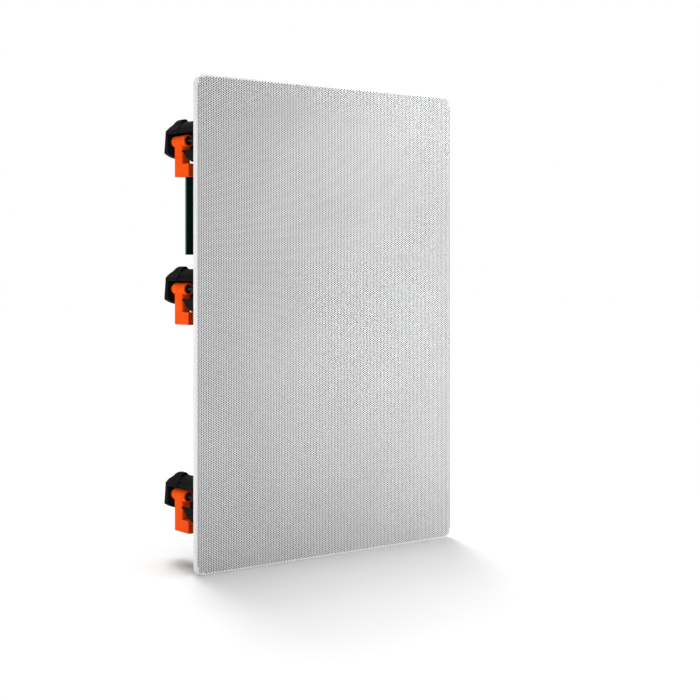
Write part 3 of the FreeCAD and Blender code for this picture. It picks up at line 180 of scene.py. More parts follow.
TRACES = (
    ((-20.5, 100.0), (-10.0, 106.0), (5.7, 106.0)),
    ((5.7, 106.0), (5.7, 124.0)),
    ((43.7, 124.0), (70.0, 124.0), (76.5, 117.0), (76.5, 95.0), (71.7, 90.0)),
    ((71.7, 104.0), (71.7, 90.0)),
    ((43.7, 106.0), (43.7, 104.0)),
    ((43.7, 90.0), (43.7, 84.0), (48.0, 79.0)),
    ((23.5, 74.0), (27.0, 70.0), (30.0, 70.0)),
    ((8.7, 89.0), (8.7, 97.0), (18.0, 97.0), (26.0, 90.0), (43.7, 90.0)),
    ((-44.7, 76.0), (-44.7, 66.0), (-38.0, 57.0), (26.0, 57.0), (30.0, 60.0)),
    ((-68.5, 100.0), (-78.0, 100.0), (-82.0, 96.0), (-82.0, 70.0), (-68.0, 57.0), (-38.0, 57.0)),
)


def linear(hex_colour):
    """An sRGB hex colour as linear RGBA."""
    channels = [int(hex_colour[i:i + 2], 16) / 255 for i in (1, 3, 5)]
    return [c / 12.92 if c <= 0.04045 else ((c + 0.055) / 1.055) ** 2.4 for c in channels] + [1.0]


def add(tree, kind, inputs=None, **settings):
    """Adds a shader node, sets its settings, and gives each input a value or a link."""
    made = tree.nodes.new("ShaderNode" + kind)
    for name, value in settings.items():
        setattr(made, name, value)
    for name, value in (inputs or {}).items():
        if isinstance(value, bpy.types.NodeSocket):
            tree.links.new(value, made.inputs[name])
        else:
            made.inputs[name].default_value = value
    return made


def new_material(name):
    """A material whose tree holds the Principled shader and the place on the piece in metres."""
    material = bpy.data.materials.new(name)
    material.use_nodes = True
    tree = material.node_tree
    place = add(tree, "TexCoord").outputs["Object"]
    return material, tree, tree.nodes["Principled BSDF"], place


def set_shader(tree, shader, colour, bump=None, **inputs):
    """Fills the Principled shader.

    colour is a hex value, a link, or (pattern, first, second, low, high): the first hex value where the
    pattern is up to low, the second from high on. bump is (pattern, depth in millimetres). Any other input is
    a value, or (pattern, low, high), the values that it takes where the pattern is 0 and 1.
    """
    if isinstance(colour, str):
        shader.inputs["Base Color"].default_value = linear(colour)
    elif isinstance(colour, tuple):
        pattern, first, second, low, high = colour
        ramp = add(tree, "ValToRGB", {"Fac": pattern})
        for stop, position, tone in zip(ramp.color_ramp.elements, (low, high), (first, second)):
            stop.position = position
            stop.color = linear(tone)
        tree.links.new(ramp.outputs["Color"], shader.inputs["Base Color"])
    else:
        tree.links.new(colour, shader.inputs["Base Color"])
    for name, value in inputs.items():
        socket = shader.inputs[name.replace("_", " ")]
        if isinstance(value, tuple):
            pattern, low, high = value
            spread = add(tree, "MapRange", {"Value": pattern, "To Min": low, "To Max": high})
            tree.links.new(spread.outputs["Result"], socket)
        else:
            socket.default_value = value
    if bump:
        pattern, depth = bump
        made = add(tree, "Bump", {"Height": pattern, "Strength": 1.0, "Distance": depth * MM})
        tree.links.new(made.outputs["Normal"], shader.inputs["Normal"])


def per_mm(size):
    """The scale of a pattern whose repeat is size in millimetres."""
    return 1000.0 / size


def woven(tree, place, across, along):
    """Threads that cross, drawn so many millimetres apart."""
    # a wave texture repeats every pi / 10 of its unit
    warp, weft = [
        add(tree, "TexWave", {"Vector": place, "Scale": per_mm(size) * math.pi / 10}, bands_direction=way)
        for size, way in ((across, "X"), (along, "Z"))
    ]
    return add(tree, "Math", {0: warp.outputs["Fac"], 1: weft.outputs["Fac"]},
               operation="MULTIPLY").outputs["Value"]


def powder_coat():
    # Powder coat on steel: satin white with a fine orange peel of about 0.9 mm
    material, tree, shader, place = new_material("white_powder_coat_on_steel")
    peel = add(tree, "TexNoise", {"Vector": place, "Scale": per_mm(0.9), "Detail": 2.0}).outputs["Fac"]
    drift = add(tree, "TexNoise", {"Vector": place, "Scale": per_mm(60.0), "Detail": 1.0}).outputs["Fac"]
    set_shader(tree, shader, (drift, "#E6E7E7", "#EBECEC", 0.35, 0.65), (peel, 0.012), Roughness=0.42)
    return material


def acoustic_cloth():
    # Knitted polyester scrim: dull black. Its loops, about 0.6 mm apart, are too fine to show, so they are
    # drawn coarser.
    material, tree, shader, place = new_material("black_knitted_polyester")
    knit = woven(tree, place, 3.77, 3.14)
    set_shader(tree, shader, (knit, "#090909", "#1C1C1C", 0.1, 0.8), (knit, 0.1),
               Roughness=0.95, Sheen_Weight=0.15)
    return material


def moulded_black():
    # Moulded ABS with a spark-eroded grain of 0.35 mm: matt black with a grey bloom
    material, tree, shader, place = new_material("black_moulded_abs")
    spark = add(tree, "TexNoise", {"Vector": place, "Scale": per_mm(0.35), "Detail": 3.0}).outputs["Fac"]
    flow = add(tree, "TexNoise", {"Vector": place, "Scale": per_mm(25.0), "Detail": 2.0}).outputs["Fac"]
    set_shader(tree, shader, (flow, "#111112", "#191A1A", 0.3, 0.7), (spark, 0.03),
               Roughness=(spark, 0.57, 0.73), IOR=1.52, Specular_IOR_Level=0.02)
    return material


def orange_nylon():
    # Glass-filled nylon, moulded: strong orange, satin, with faint flow marks
    material, tree, shader, place = new_material("orange_glass_filled_nylon")
    fibre = add(tree, "TexNoise", {"Vector": place, "Scale": per_mm(0.5), "Detail": 4.0}).outputs["Fac"]
    flow = add(tree, "TexNoise", {"Vector": place, "Scale": per_mm(9.0), "Detail": 2.0}).outputs["Fac"]
    set_shader(tree, shader, (flow, "#FC4E00", "#FF5902", 0.3, 0.7), (fibre, 0.02),
               Roughness=(fibre, 0.42, 0.58), IOR=1.53, Specular_IOR_Level=0.04)
    return material


def black_zinc():
    # Black zinc plate on a steel screw: dark, slightly blue, with a soft shine
    material, tree, shader, place = new_material("black_zinc_plated_steel")
    wear = add(tree, "TexNoise", {"Vector": place, "Scale": per_mm(1.2), "Detail": 4.0}).outputs["Fac"]
    set_shader(tree, shader, (wear, "#1E1F21", "#333438", 0.45, 0.75), (wear, 0.01),
               Roughness=0.38, Metallic=0.85)
    return material


def turned_metal(name, base, light, roughness, grain_size):
    # Turned or plated metal: bright, clouded, with fine tool marks or grain
    material, tree, shader, place = new_material(name)
    grain = add(tree, "TexNoise",
                {"Vector": place, "Scale": per_mm(grain_size), "Detail": 5.0}).outputs["Fac"]
    cloud = add(tree, "TexNoise", {"Vector": place, "Scale": per_mm(14.0), "Detail": 3.0}).outputs["Fac"]
    set_shader(tree, shader, (cloud, base, light, 0.35, 0.65), (grain, 0.008),
               Roughness=(grain, roughness - 0.08, roughness + 0.1), Metallic=1.0)
    return material


def painted_basket():
    # Black electro-coat on pressed steel: half gloss with a slight orange peel
    material, tree, shader, place = new_material("black_electrocoat_on_pressed_steel")
    peel = add(tree, "TexNoise", {"Vector": place, "Scale": per_mm(1.6), "Detail": 2.0}).outputs["Fac"]
    set_shader(tree, shader, "#17171A", (peel, 0.03), Roughness=0.34, Coat_Weight=0.15)
    return material


def butyl_rubber():
    # Butyl rubber: soft black with a dusty bloom
    material, tree, shader, place = new_material("black_butyl_rubber")
    bloom = add(tree, "TexNoise", {"Vector": place, "Scale": per_mm(7.0), "Detail": 4.0}).outputs["Fac"]
    set_shader(tree, shader, (bloom, "#101011", "#1B1B1C", 0.35, 0.65), (bloom, 0.01),
               Roughness=(bloom, 0.5, 0.7))
    return material


def pulp_cone():
    # Coated paper pulp with mica: charcoal, with fibres 1.5 mm long and a faint sparkle
    material, tree, shader, place = new_material("coated_paper_pulp_with_mica")
    fibre = add(tree, "TexNoise",
                {"Vector": place, "Scale": per_mm(1.5), "Detail": 6.0, "Roughness": 0.7}).outputs["Fac"]
    mica = add(tree, "TexVoronoi", {"Vector": place, "Scale": per_mm(0.7)}).outputs["Distance"]
    set_shader(tree, shader, (fibre, "#1E1E20", "#303033", 0.3, 0.75), (fibre, 0.06),
               Roughness=(mica, 0.35, 0.65))
    return material


def enamelled_copper():
    # Enamelled copper wire: warm metal under a clear amber varnish
    material, tree, shader, place = new_material("enamelled_copper_wire")
    varnish = add(tree, "TexNoise", {"Vector": place, "Scale": per_mm(3.0), "Detail": 3.0}).outputs["Fac"]
    set_shader(tree, shader, (varnish, "#A9502A", "#C8713C", 0.35, 0.65), (varnish, 0.01),
               Roughness=0.28, Metallic=1.0, Coat_Weight=0.4, Coat_Roughness=0.1)
    return material


def resin_cloth():
    # Cotton cloth stiffened with resin: amber. Its threads, 0.5 mm apart, are too fine to show, so they are
    # drawn coarser.
    material, tree, shader, place = new_material("amber_resin_cloth")
    weave = woven(tree, place, 3.14, 3.14)
    set_shader(tree, shader, (weave, "#9A6C2C", "#C99A4E", 0.0, 0.9), (weave, 0.08), Roughness=0.7)
    return material


def ferrite():
    # Sintered ferrite: dull dark grey with a ground grain
    material, tree, shader, place = new_material("sintered_ferrite")
    grain = add(tree, "TexNoise", {"Vector": place, "Scale": per_mm(0.6), "Detail": 5.0}).outputs["Fac"]
    chalk = add(tree, "TexNoise", {"Vector": place, "Scale": per_mm(12.0), "Detail": 3.0}).outputs["Fac"]
    set_shader(tree, shader, (chalk, "#29292B", "#3A3A3D", 0.35, 0.65), (grain, 0.03),
               Roughness=0.62, Metallic=0.2)
    return material


def solder_mask():
    # Glass-epoxy board under green solder mask: glossy, and paler where the sawn edge is bare. The glass
    # cloth's threads, 0.8 mm apart, are too fine to show, so they are drawn coarser.
    material, tree, shader, place = new_material("green_solder_mask_on_glass_epoxy")
    weave = woven(tree, place, 5.03, 5.03)
    masked = add(tree, "MixRGB", {"Fac": weave, "Color1": linear("#0A2E1C"), "Color2": linear("#0D3824")})
    normal = add(tree, "TexCoord").outputs["Normal"]
    across = add(tree, "SeparateXYZ", {"Vector": normal}).outputs["Y"]
    flat = add(tree, "Math", {0: across}, operation="ABSOLUTE").outputs["Value"]
    colour = add(tree, "MixRGB",
                 {"Fac": flat, "Color1": linear("#47705A"), "Color2": masked.outputs["Color"]})
    set_shader(tree, shader, colour.outputs["Color"], (weave, 0.006),
               Roughness=0.35, Specular_IOR_Level=0.3)
    return material


def masked_copper():
    # Copper track under green solder mask: a lighter, yellower green than the bare board, just as glossy
    material, tree, shader, place = new_material("solder_mask_over_copper")
    etch = add(tree, "TexNoise", {"Vector": place, "Scale": per_mm(3.0), "Detail": 3.0}).outputs["Fac"]
    set_shader(tree, shader, (etch, "#1A4C30", "#205838", 0.35, 0.65), (etch, 0.01),
               Roughness=0.35, Specular_IOR_Level=0.3)
    return material


def polyester_tape():
    # Yellow polyester tape round a film capacitor: glossy, with the wound layers showing
    material, tree, shader, place = new_material("yellow_polyester_tape")
    layers = add(tree, "TexNoise", {"Vector": place, "Scale": per_mm(5.0), "Detail": 3.0}).outputs["Fac"]
    set_shader(tree, shader, (layers, "#C9971B", "#DDAF33", 0.35, 0.65), (layers, 0.05), Roughness=0.22)
    return material


def cement_ceramic():
    # Cement-filled ceramic resistor: chalky off-white with pores about 0.5 mm wide
    material, tree, shader, place = new_material("cement_filled_ceramic")
    pores = add(tree, "TexNoise", {"Vector": place, "Scale": per_mm(0.5), "Detail": 5.0}).outputs["Fac"]
    set_shader(tree, shader, (pores, "#C9C5B8", "#DEDBD0", 0.35, 0.65), (pores, 0.06), Roughness=0.85)
    return material


def glossy_red():
    # Moulded red ABS: glossy with faint sink marks
    material, tree, shader, place = new_material("red_moulded_abs")
    sink = add(tree, "TexNoise", {"Vector": place, "Scale": per_mm(4.0), "Detail": 1.0}).outputs["Fac"]
    set_shader(tree, shader, (sink, "#AE1512", "#BE1A16", 0.35, 0.65), (sink, 0.01), Roughness=0.25)
    return material


def silicone():
    # Cured silicone sealant: milky, rubbery, with a soft shine
    material, tree, shader, place = new_material("white_silicone_sealant")
    skin = add(tree, "TexNoise", {"Vector": place, "Scale": per_mm(2.5), "Detail": 2.0}).outputs["Fac"]
    set_shader(tree, shader, (skin, "#C9C9C4", "#DADAD6", 0.35, 0.65), (skin, 0.15),
               Roughness=0.4, Subsurface_Weight=0.2, Subsurface_Scale=0.002)
    return material


def coated_silk():
    # Silk dome with a damping coat: dark, softly shiny, with threads 0.35 mm apart
    material, tree, shader, place = new_material("coated_silk")
    weave = add(tree, "TexVoronoi", {"Vector": place, "Scale": per_mm(0.35)}).outputs["Distance"]
    set_shader(tree, shader, (weave, "#1D1D1F", "#0F0F10", 0.35, 0.65), (weave, 0.02),
               Roughness=0.45, Sheen_Weight=0.2)
    return material


def paper_sweep():
    # White paper sweep: dull, so that it shows the shadow and no reflection
    material, tree, shader, _ = new_material("white_paper_sweep")
    set_shader(tree, shader, "#F0F0F0", Roughness=1.0, Specular_IOR_Level=0.0)
    return material


def make_materials():
    """Material slot to material. The last two have no slot of their own in the record."""
    return {
        "white_grille": powder_coat(),
        "black_cloth": acoustic_cloth(),
        "nickel": turned_metal("nickel_plated_magnet", "#B9B9BA", "#CBCBCC", 0.22, 0.3),
        "black_plastic": moulded_black(),
        "orange_plastic": orange_nylon(),
        "black_screw": black_zinc(),
        "brass": turned_metal("turned_brass", "#B08A42", "#C9A35A", 0.3, 0.25),
        "black_basket": painted_basket(),
        "black_rubber": butyl_rubber(),
        "cone_paper": pulp_cone(),
        "copper": enamelled_copper(),
        "amber_cloth": resin_cloth(),
        "zinc_steel": turned_metal("zinc_plated_steel", "#B1B3B6", "#BDBFC2", 0.36, 0.4),
        "ferrite": ferrite(),
        "silk_dome": coated_silk(),
        "green_board": solder_mask(),
        "film_yellow": polyester_tape(),
        "ceramic_white": cement_ceramic(),
        "red_plastic": glossy_red(),
        "masked_copper": masked_copper(),
        "silicone": silicone(),
    }


def dress_cad_nodes(materials):
    for part in frame["record"]["subparts"]:
        for material_slot in frame["nodes"][part["node"]].material_slots:
            material_slot.material = materials[part["material_slot"]]


def mesh_piece(name, points, faces, material, smooth_angle=None, closed=False):
    """A new mesh object. Edges that turn by more than smooth_angle, in degrees, stay sharp."""
    mesh = bpy.data.meshes.new(name)
    mesh.from_pydata(points, [], faces)
    mesh.materials.append(material)
    if closed:  # then its faces are turned outwards
        edit = bmesh.new()
        edit.from_mesh(mesh)
        bmesh.ops.recalc_face_normals(edit, faces=edit.faces)
        edit.to_mesh(mesh)
        edit.free()
    if smooth_angle is not None:
        mesh.shade_smooth()
        mesh.set_sharp_from_angle(angle=math.radians(smooth_angle))
    piece = bpy.data.objects.new(name, mesh)
    bpy.context.scene.collection.objects.link(piece)
    return piece


def band(first, second, count):
    """Faces between two closed rows of count points, which start at first and at second."""
    following = [(k + 1) % count for k in range(count)]
    return [(first + k, first + n, second + n, second + k) for k, n in enumerate(following)]


def loft(outlines, looped=False, capped=False):
    """Points and faces of closed outlines, each joined to the next, and if looped the last to the first."""
    count = len(outlines[0])
    starts = [i * count for i in range(len(outlines))]
    points = [point for outline in outlines for point in outline]
    following = starts[1:] + starts[:1] if looped else starts[1:]
    faces = [face for pair in zip(starts, following) for face in band(*pair, count)]
    if capped:
        faces += [tuple(range(start, start + count)) for start in (starts[0], starts[-1])]
    return points, faces


def fill_between(outer, inner):
    """Points and triangles of the flat between two outlines. The points begin with outer + inner."""
    flat = [Vector(point) for point in outer + inner]
    outlines = [list(range(len(outer))), list(range(len(outer), len(flat)))]
    inside, merge = 1, 1e-9
    places, _, triangles, _, _, origins = delaunay_2d_cdt(flat, [], outlines, inside, merge, True)
    return places, [tuple(triangle) for triangle, origin in zip(triangles, origins) if origin == [0]]


def outline_loop(half_width, half_height, corner, steps, spacing):
    """Points and outward directions of a rounded rectangle in X and Z, counter-clockwise from the front."""
    points, outward = [], []
    corners = [(1, 1), (-1, 1), (-1, -1), (1, -1)]
    for i, (sx, sz) in enumerate(corners):
        cx, cz = sx * (half_width - corner), sz * (half_height - corner)
        for k in range(steps + 1):
            a = math.radians(90 * i + 90 * k / steps)
            outward.append((math.cos(a), math.sin(a)))
            points.append((cx + corner * math.cos(a), cz + corner * math.sin(a)))
        ex, ez = points[-1]
        nx, nz = corners[(i + 1) % 4]
        goal = (nx * (half_width - corner), ez) if i % 2 == 0 else (ex, nz * (half_height - corner))
        count = int(math.hypot(goal[0] - ex, goal[1] - ez) / spacing)
        for k in range(1, count):
            share = k / count
            points.append((ex + (goal[0] - ex) * share, ez + (goal[1] - ez) * share))
            outward.append(outward[-1])
    return points, outward


def hole_centres():
    """(column, row) to (x, z) for each hole that fits inside the sheet's flat face."""
    reach = HOLE_RADIUS + HOLE_MARGIN
    centres = {}
    for column in range(HOLE_COLUMNS):
        x = (column - (HOLE_COLUMNS - 1) / 2) * COLUMN_PITCH
        shift = 0.5 if column % 2 else 0.0
        for row in range(-1, HOLE_ROWS):
            z = (row - (HOLE_ROWS - 1) / 2 + shift) * HOLE_PITCH
            if abs(z) > FLAT_HALF_HEIGHT - reach * math.sqrt(3) / 2:
                continue
            dx = abs(x) - (FLAT_HALF_WIDTH - FLAT_CORNER)
            dz = abs(z) - (FLAT_HALF_HEIGHT - FLAT_CORNER)
            if dx > 0 and dz > 0 and math.hypot(dx, dz) > FLAT_CORNER - reach:
                continue
            centres[column, row] = (x, z)
    return centres


def perforated_faces(centres):
    """Points of every hexagonal hole, front then back, and the faces between the holes and inside them."""
    first = {key: HOLE_SIDES * i for i, key in enumerate(centres)}
    angles = [math.radians(60 * i) for i in range(HOLE_SIDES)]
    corners = np.array([(math.cos(a), math.sin(a)) for a in angles]) * HOLE_RADIUS
    flat = (np.array(list(centres.values()))[:, None, :] + corners[None, :, :]).reshape(-1, 2)
    total = len(flat)
    front = np.column_stack([flat[:, 0], np.full(total, PANEL_FRONT), flat[:, 1]])
    back = front + np.array([0.0, HOLE_DEPTH, 0.0])
    fronts, walls = [], []
    for (column, row), a in first.items():
        # the hole above, and the two beside it in the next column
        b = first.get((column, row + 1))
        c = first.get((column + 1, row + column % 2))
        d = first.get((column + 1, row + column % 2 - 1))
        if b is not None:
            fronts.append((a + 1, b + 5, b + 4, a + 2))
        if c is not None:
            fronts.append((a, c + 4, c + 3, a + 1))
        if d is not None:
            fronts.append((a + 5, d + 3, d + 2, a))
        if b is not None and c is not None:
            fronts.append((a + 1, c + 3, b + 5))
        if c is not None and d is not None:
            fronts.append((a, d + 2, c + 4))
        walls += band(a, total + a, HOLE_SIDES)
    return np.vstack([front, back]), fronts, walls


def boundary_loop(fronts, walls):
    """The outer edge of the perforated field, as a chain of point numbers."""
    directed = set()
    for face in fronts:
        directed.update(zip(face, face[1:] + face[:1]))
    for a, n, _, _ in walls:
        directed.add((a, n))
    following = {}
    for a, b in directed:
        if (b, a) not in directed:
            following[a] = b
    start = min(following)
    loop = [start]
    while following[loop[-1]] != start:
        loop.append(following[loop[-1]])
    assert len(loop) == len(following), "the field's edge is one loop"
    return loop


def build_grille(material):
    """The perforated field in upright strips, and the plain rim folded back round it."""
    centres = hole_centres()
    points, fronts, walls = perforated_faces(centres)
    columns = np.tile(np.repeat([column for column, _ in centres], HOLE_SIDES), 2)
    strip_of = np.minimum(columns // (HOLE_COLUMNS // STRIPS), STRIPS - 1)
    strips = [[] for _ in range(STRIPS)]
    for face in fronts + walls:
        strips[strip_of[face[0]]].append(face)
    made = []
    for number, faces in enumerate(strips):
        used = sorted({i for face in faces for i in face})
        renumber = {old: new for new, old in enumerate(used)}
        local = [tuple(renumber[i] for i in face) for face in faces]
        made.append(mesh_piece(f"grille_sheet_{number}", points[used].tolist(), local, material))
    field_edge = [(points[i][0], points[i][2]) for i in boundary_loop(fronts, walls)]
    made.append(build_grille_rim(field_edge, material))
    for piece in made:
        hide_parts("grille")
        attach(piece, "grille")


def quarter_round(radius, front, turns):
    """Outset and y along a quarter circle, from 0 on the face to 1 on the side."""
    angles = [math.radians(90 * turn) for turn in turns]
    return [(radius * math.sin(a), front + radius * (1 - math.cos(a))) for a in angles]


def build_grille_rim(field_edge, material):
    """Plain border from the field's edge, over the round shoulder, and back to the folded hem."""
    outer, outward = outline_loop(FLAT_HALF_WIDTH, FLAT_HALF_HEIGHT, FLAT_CORNER, CORNER_STEPS,
                                  2 * HOLE_PITCH)
    places, faces = fill_between(outer, field_edge)
    points = [(place.x, PANEL_FRONT, place.y) for place in places]
    inside, hem = EDGE_ROUND - SHEET, PANEL_HIGH.y
    profile = quarter_round(EDGE_ROUND, PANEL_FRONT, [(k + 1) / EDGE_STEPS for k in range(EDGE_STEPS)])
    profile += [(EDGE_ROUND, hem - HEM_BEVEL), (EDGE_ROUND - HEM_BEVEL, hem),
                (inside + HEM_BEVEL, hem), (inside, hem - HEM_BEVEL)]
    profile += quarter_round(inside, PANEL_FRONT + SHEET, [1 - k / HEM_STEPS for k in range(HEM_STEPS + 1)])
    count = len(outer)
    last = 0
    for outset, y in profile:
        row = len(points)
        points += [(x + nx * outset, y, z + nz * outset) for (x, z), (nx, nz) in zip(outer, outward)]
        faces += band(row, last, count)
        last = row
    return mesh_piece("grille_rim", points, faces, material, smooth_angle=40)


def surround_profile():
    """The half roll with its two flat lips."""
    middle = (SURROUND_OUTER + SURROUND_INNER) / 2
    roll = (SURROUND_OUTER - SURROUND_INNER) / 2
    front, back = SURROUND_FRONT, SURROUND_FRONT + SURROUND_SKIN
    outside = [(SURROUND_OUTER + SURROUND_LIP, back), (SURROUND_OUTER + SURROUND_LIP, front)]
    inside = [(SURROUND_INNER - SURROUND_LIP, front), (SURROUND_INNER - SURROUND_LIP, back)]
    angles = [math.pi * k / ROLL_STEPS for k in range(ROLL_STEPS + 1)]
    over = [(middle + roll * math.cos(a), front - roll * math.sin(a)) for a in angles]
    under = [(middle - (roll - SURROUND_SKIN) * math.cos(a), back - roll * math.sin(a) * ROLL_UNDERSIDE)
             for a in angles]
    return outside + over + inside + under


def spider_profile():
    """Rolled corrugations between two flat lips."""
    start, end = SPIDER_INNER + SPIDER_LIP, SPIDER_OUTER - SPIDER_LIP
    steps = WAVE_STEPS * SPIDER_WAVES
    ridge = []
    for k in range(steps + 1):
        share = k / steps
        wave = 0.5 - 0.5 * math.cos(2 * math.pi * SPIDER_WAVES * share)
        ridge.append((start + (end - start) * share, SPIDER_FRONT - SPIDER_WAVE * wave))
    top = [(SPIDER_INNER, SPIDER_FRONT)] + ridge + [(SPIDER_OUTER, SPIDER_FRONT)]
    return top + [(r, y + SPIDER_SKIN) for r, y in reversed(top)]


def build_flexible_ring(node, profile, material):
    """A ring in sectors, each reaching from the chassis at the outer radius to the cone at the inner radius.
    """
    width = 2 * math.pi / SECTORS
    for i in range(SECTORS):
        start = i * width
        outlines = []
        for k in range(SECTOR_STEPS + 1):
            a = start + width * k / SECTOR_STEPS
            outlines.append([(r * math.sin(a), y, WOOFER_Z + r * math.cos(a)) for r, y in profile])
        piece = mesh_piece(f"{node}_{i}", *loft(outlines), material, smooth_angle=45)
        a = start + width / 2
        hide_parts(node)
        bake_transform(piece)


def solid_piece(name, parts, material, body, node, smooth_angle=40):
    """A piece from closed lots of points in millimetres. It stands for the CAD node, if one is named."""
    points, faces = [], []
    for some_points, some_faces in parts:
        start = len(points)
        points += [(x * MM, y * MM, z * MM) for x, y, z in some_points]
        faces += [tuple(start + i for i in face) for face in some_faces]
    piece = mesh_piece(name, points, faces, material, smooth_angle, closed=True)
    if node:
        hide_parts(node)
    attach(piece, body)


def box_mm(node):
    """A CAD node's lowest and highest corners in millimetres."""
    low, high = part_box(node)
    return low / MM, high / MM


def thread_form(share):
    """A rolled thread's height over one pitch, from 0 at the root to 1 on its flat top."""
    return min(1.0, max(0.0, 1.0 - (abs(share - 0.5) - THREAD_TOP / 2) / THREAD_FLANK))


def wire_form(share):
    """A round wire's height over one pitch."""
    return math.sqrt(max(0.0, 1.0 - (2.0 * share - 1.0) ** 2))


def rings(centre, rows, sides, pitch=1.0, form=thread_form, looped=False, capped=False):
    """Rings round an axis along Y. rows are radius, y and the height of a helical ridge."""
    outlines = []
    for radius, y, ridge in rows:
        outline = []
        for k in range(sides):
            turn = k / sides
            r = radius + ridge * (form((y / pitch - turn) % 1.0) - 1.0)
            outline.append((centre[0] + r * math.sin(2 * math.pi * turn), y,
                            centre[1] + r * math.cos(2 * math.pi * turn)))
        outlines.append(outline)
    return loft(outlines, looped, capped)


def cross_screw(centre, face_y, way, rows, recess):
    """A screw along Y. rows are radius, depth behind the head's face, and ridge."""
    points, faces = rings(centre, [(r, face_y + way * depth, ridge) for r, depth, ridge in rows],
                          SCREW_SIDES, THREAD_PITCH)
    faces.append(tuple(range(len(points) - SCREW_SIDES, len(points))))
    long, wide, deep = recess[0] / 2, recess[1] / 2, recess[2]
    cross = []
    for cos, sin in ((1, 0), (0, 1), (-1, 0), (0, -1)):
        cross += [(x * cos - z * sin, x * sin + z * cos)
                  for x, z in ((long, -wide), (long, wide), (wide, wide))]
    rim = [(x - centre[0], z - centre[1]) for x, _, z in points[:SCREW_SIDES]]
    top, floor = len(points), len(points) + len(cross)
    number = list(range(SCREW_SIDES)) + list(range(top, floor))
    faces += [tuple(number[i] for i in triangle) for triangle in fill_between(rim, cross)[1]]
    for shrink, y in ((1.0, face_y), (RECESS_TAPER, face_y + way * deep)):
        points += [(centre[0] + shrink * x, y, centre[1] + shrink * z) for x, z in cross]
    faces += band(top, floor, len(cross))
    faces.append(tuple(range(floor, floor + len(cross))))
    return points, faces


def plain(rows):
    """Rows without a ridge."""
    return [(radius, depth, 0.0) for radius, depth in rows]


def clamp_screw_place(clamp):
    """X and Z of a clamp screw's axis, and Y of its head's face."""
    low, high = box_mm(f"clamp_screw_{clamp}")
    return (low.x + high.x) / 2, (low.z + high.z) / 2, low.y


def build_clamp_screws(material):
    thread = []
    steps = int((THREAD_END - THREAD_START) / THREAD_PITCH * TURN_STEPS)
    for k in range(steps + 1):
        depth = THREAD_START + (THREAD_END - THREAD_START) * k / steps
        run = min(1.0, (depth - THREAD_START) / THREAD_PITCH, (THREAD_END - depth) / THREAD_PITCH)
        thread.append((CLAMP_HEAD[-1][0], depth, THREAD_DEPTH * run))
    rows = plain(CLAMP_HEAD) + thread + plain(CLAMP_POINT)
    for clamp in CLAMPS:
        x, z, face_y = clamp_screw_place(clamp)
        solid_piece(f"clamp_screw_threaded_{clamp}", [cross_screw((x, z), face_y, 1, rows, CLAMP_RECESS)],
                    material, f"screw_{clamp}", f"clamp_screw_{clamp}")


def screw_circle(centre_z, radius, count, first):
    """Centres of screws round a driver."""
    angles = [math.radians(first + 360 * k / count) for k in range(count)]
    return [(radius * math.cos(a), centre_z + radius * math.sin(a)) for a in angles]


def build_small_screws(material):
    ears = []
    for clamp in CLAMPS:
        x, z, _ = clamp_screw_place(clamp)
        inward = EAR_INWARD if clamp.startswith("left") else -EAR_INWARD
        ears += [(x + inward, z + rise) for rise in (-EAR_RISE, EAR_RISE)]
    low, high = box_mm("crossover_screws")
    inset = BOARD_SCREW_INSET
    corners = [(x, z) for x in (low.x + inset, high.x - inset) for z in (low.z + inset, high.z - inset)]
    for node, centres, head, way in (
        ("tower_fixing_screws", ears, PAN_HEAD, -1),
        ("crossover_screws", corners, PAN_HEAD, -1),
        ("woofer_screws", screw_circle(WOOFER_Z / MM, *WOOFER_SCREWS), DRIVER_HEAD, 1),
        ("tweeter_screws", screw_circle(TWEETER_Z, *TWEETER_SCREWS), DRIVER_HEAD, 1),
    ):
        low, high = box_mm(node)
        rows = plain(head + ((head[-1][0], high.y - low.y),))
        face_y = high.y if way < 0 else low.y
        screws = [cross_screw(centre, face_y, way, rows, SMALL_RECESS) for centre in centres]
        solid_piece(f"{node}_cross_recess", screws, material, "chassis", node)


def build_windings(material):
    """Both coils, wound turn by turn."""
    low, high = box_mm("inductor_windings")
    parts = []
    for centre, (outer, core, y0, y1, sides) in (
        ((low.x + LARGE_COIL[0], high.z - LARGE_COIL[0]), LARGE_COIL),
        ((high.x - SMALL_COIL[0], low.z + SMALL_COIL[0]), SMALL_COIL),
    ):
        steps = int((y1 - y0) / WIRE * TURN_STEPS)
        rows = [(outer, y0 + (y1 - y0) * k / steps, WIRE / 2) for k in range(steps + 1)]
        rows += [(core, y1, 0.0), (core, y0, 0.0)]
        parts.append(rings(centre, rows, sides, WIRE, wire_form, looped=True))
    solid_piece("inductor_wire", parts, material, "chassis", "inductor_windings", 70)


def along_x(part, y, z):
    """Turns a part made round the Y axis so that it lies along X at y and z."""
    points, faces = part
    return [(py, y + px, z + pz) for px, py, pz in points], faces


def lead(x, y, z, way, reach):
    """A round wire that leaves a part's end along X and bends down through the board."""
    bend = min(LEAD_BEND, LEAD_BEND_SHARE * reach)
    out = x + way * (reach - bend)
    arc = [(out + way * bend * math.sin(a), y - bend * (1 - math.cos(a)))
           for a in [math.radians(90 * k / LEAD_BEND_STEPS) for k in range(LEAD_BEND_STEPS + 1)]]
    path = [(x - way, y)] + arc + [(out + way * bend, BOARD_FRONT - LEAD_TIP)]
    turns = [2 * math.pi * k / LEAD_SIDES for k in range(LEAD_SIDES)]
    outlines = []
    for i, (px, py) in enumerate(path):
        before, after = path[max(i - 1, 0)], path[min(i + 1, len(path) - 1)]
        dx, dy = after[0] - before[0], after[1] - before[1]
        across = LEAD_RADIUS / math.hypot(dx, dy)
        outlines.append([
            (px - dy * across * math.cos(a), py + dx * across * math.cos(a), z + LEAD_RADIUS * math.sin(a))
            for a in turns
        ])
    return loft(outlines, capped=True)


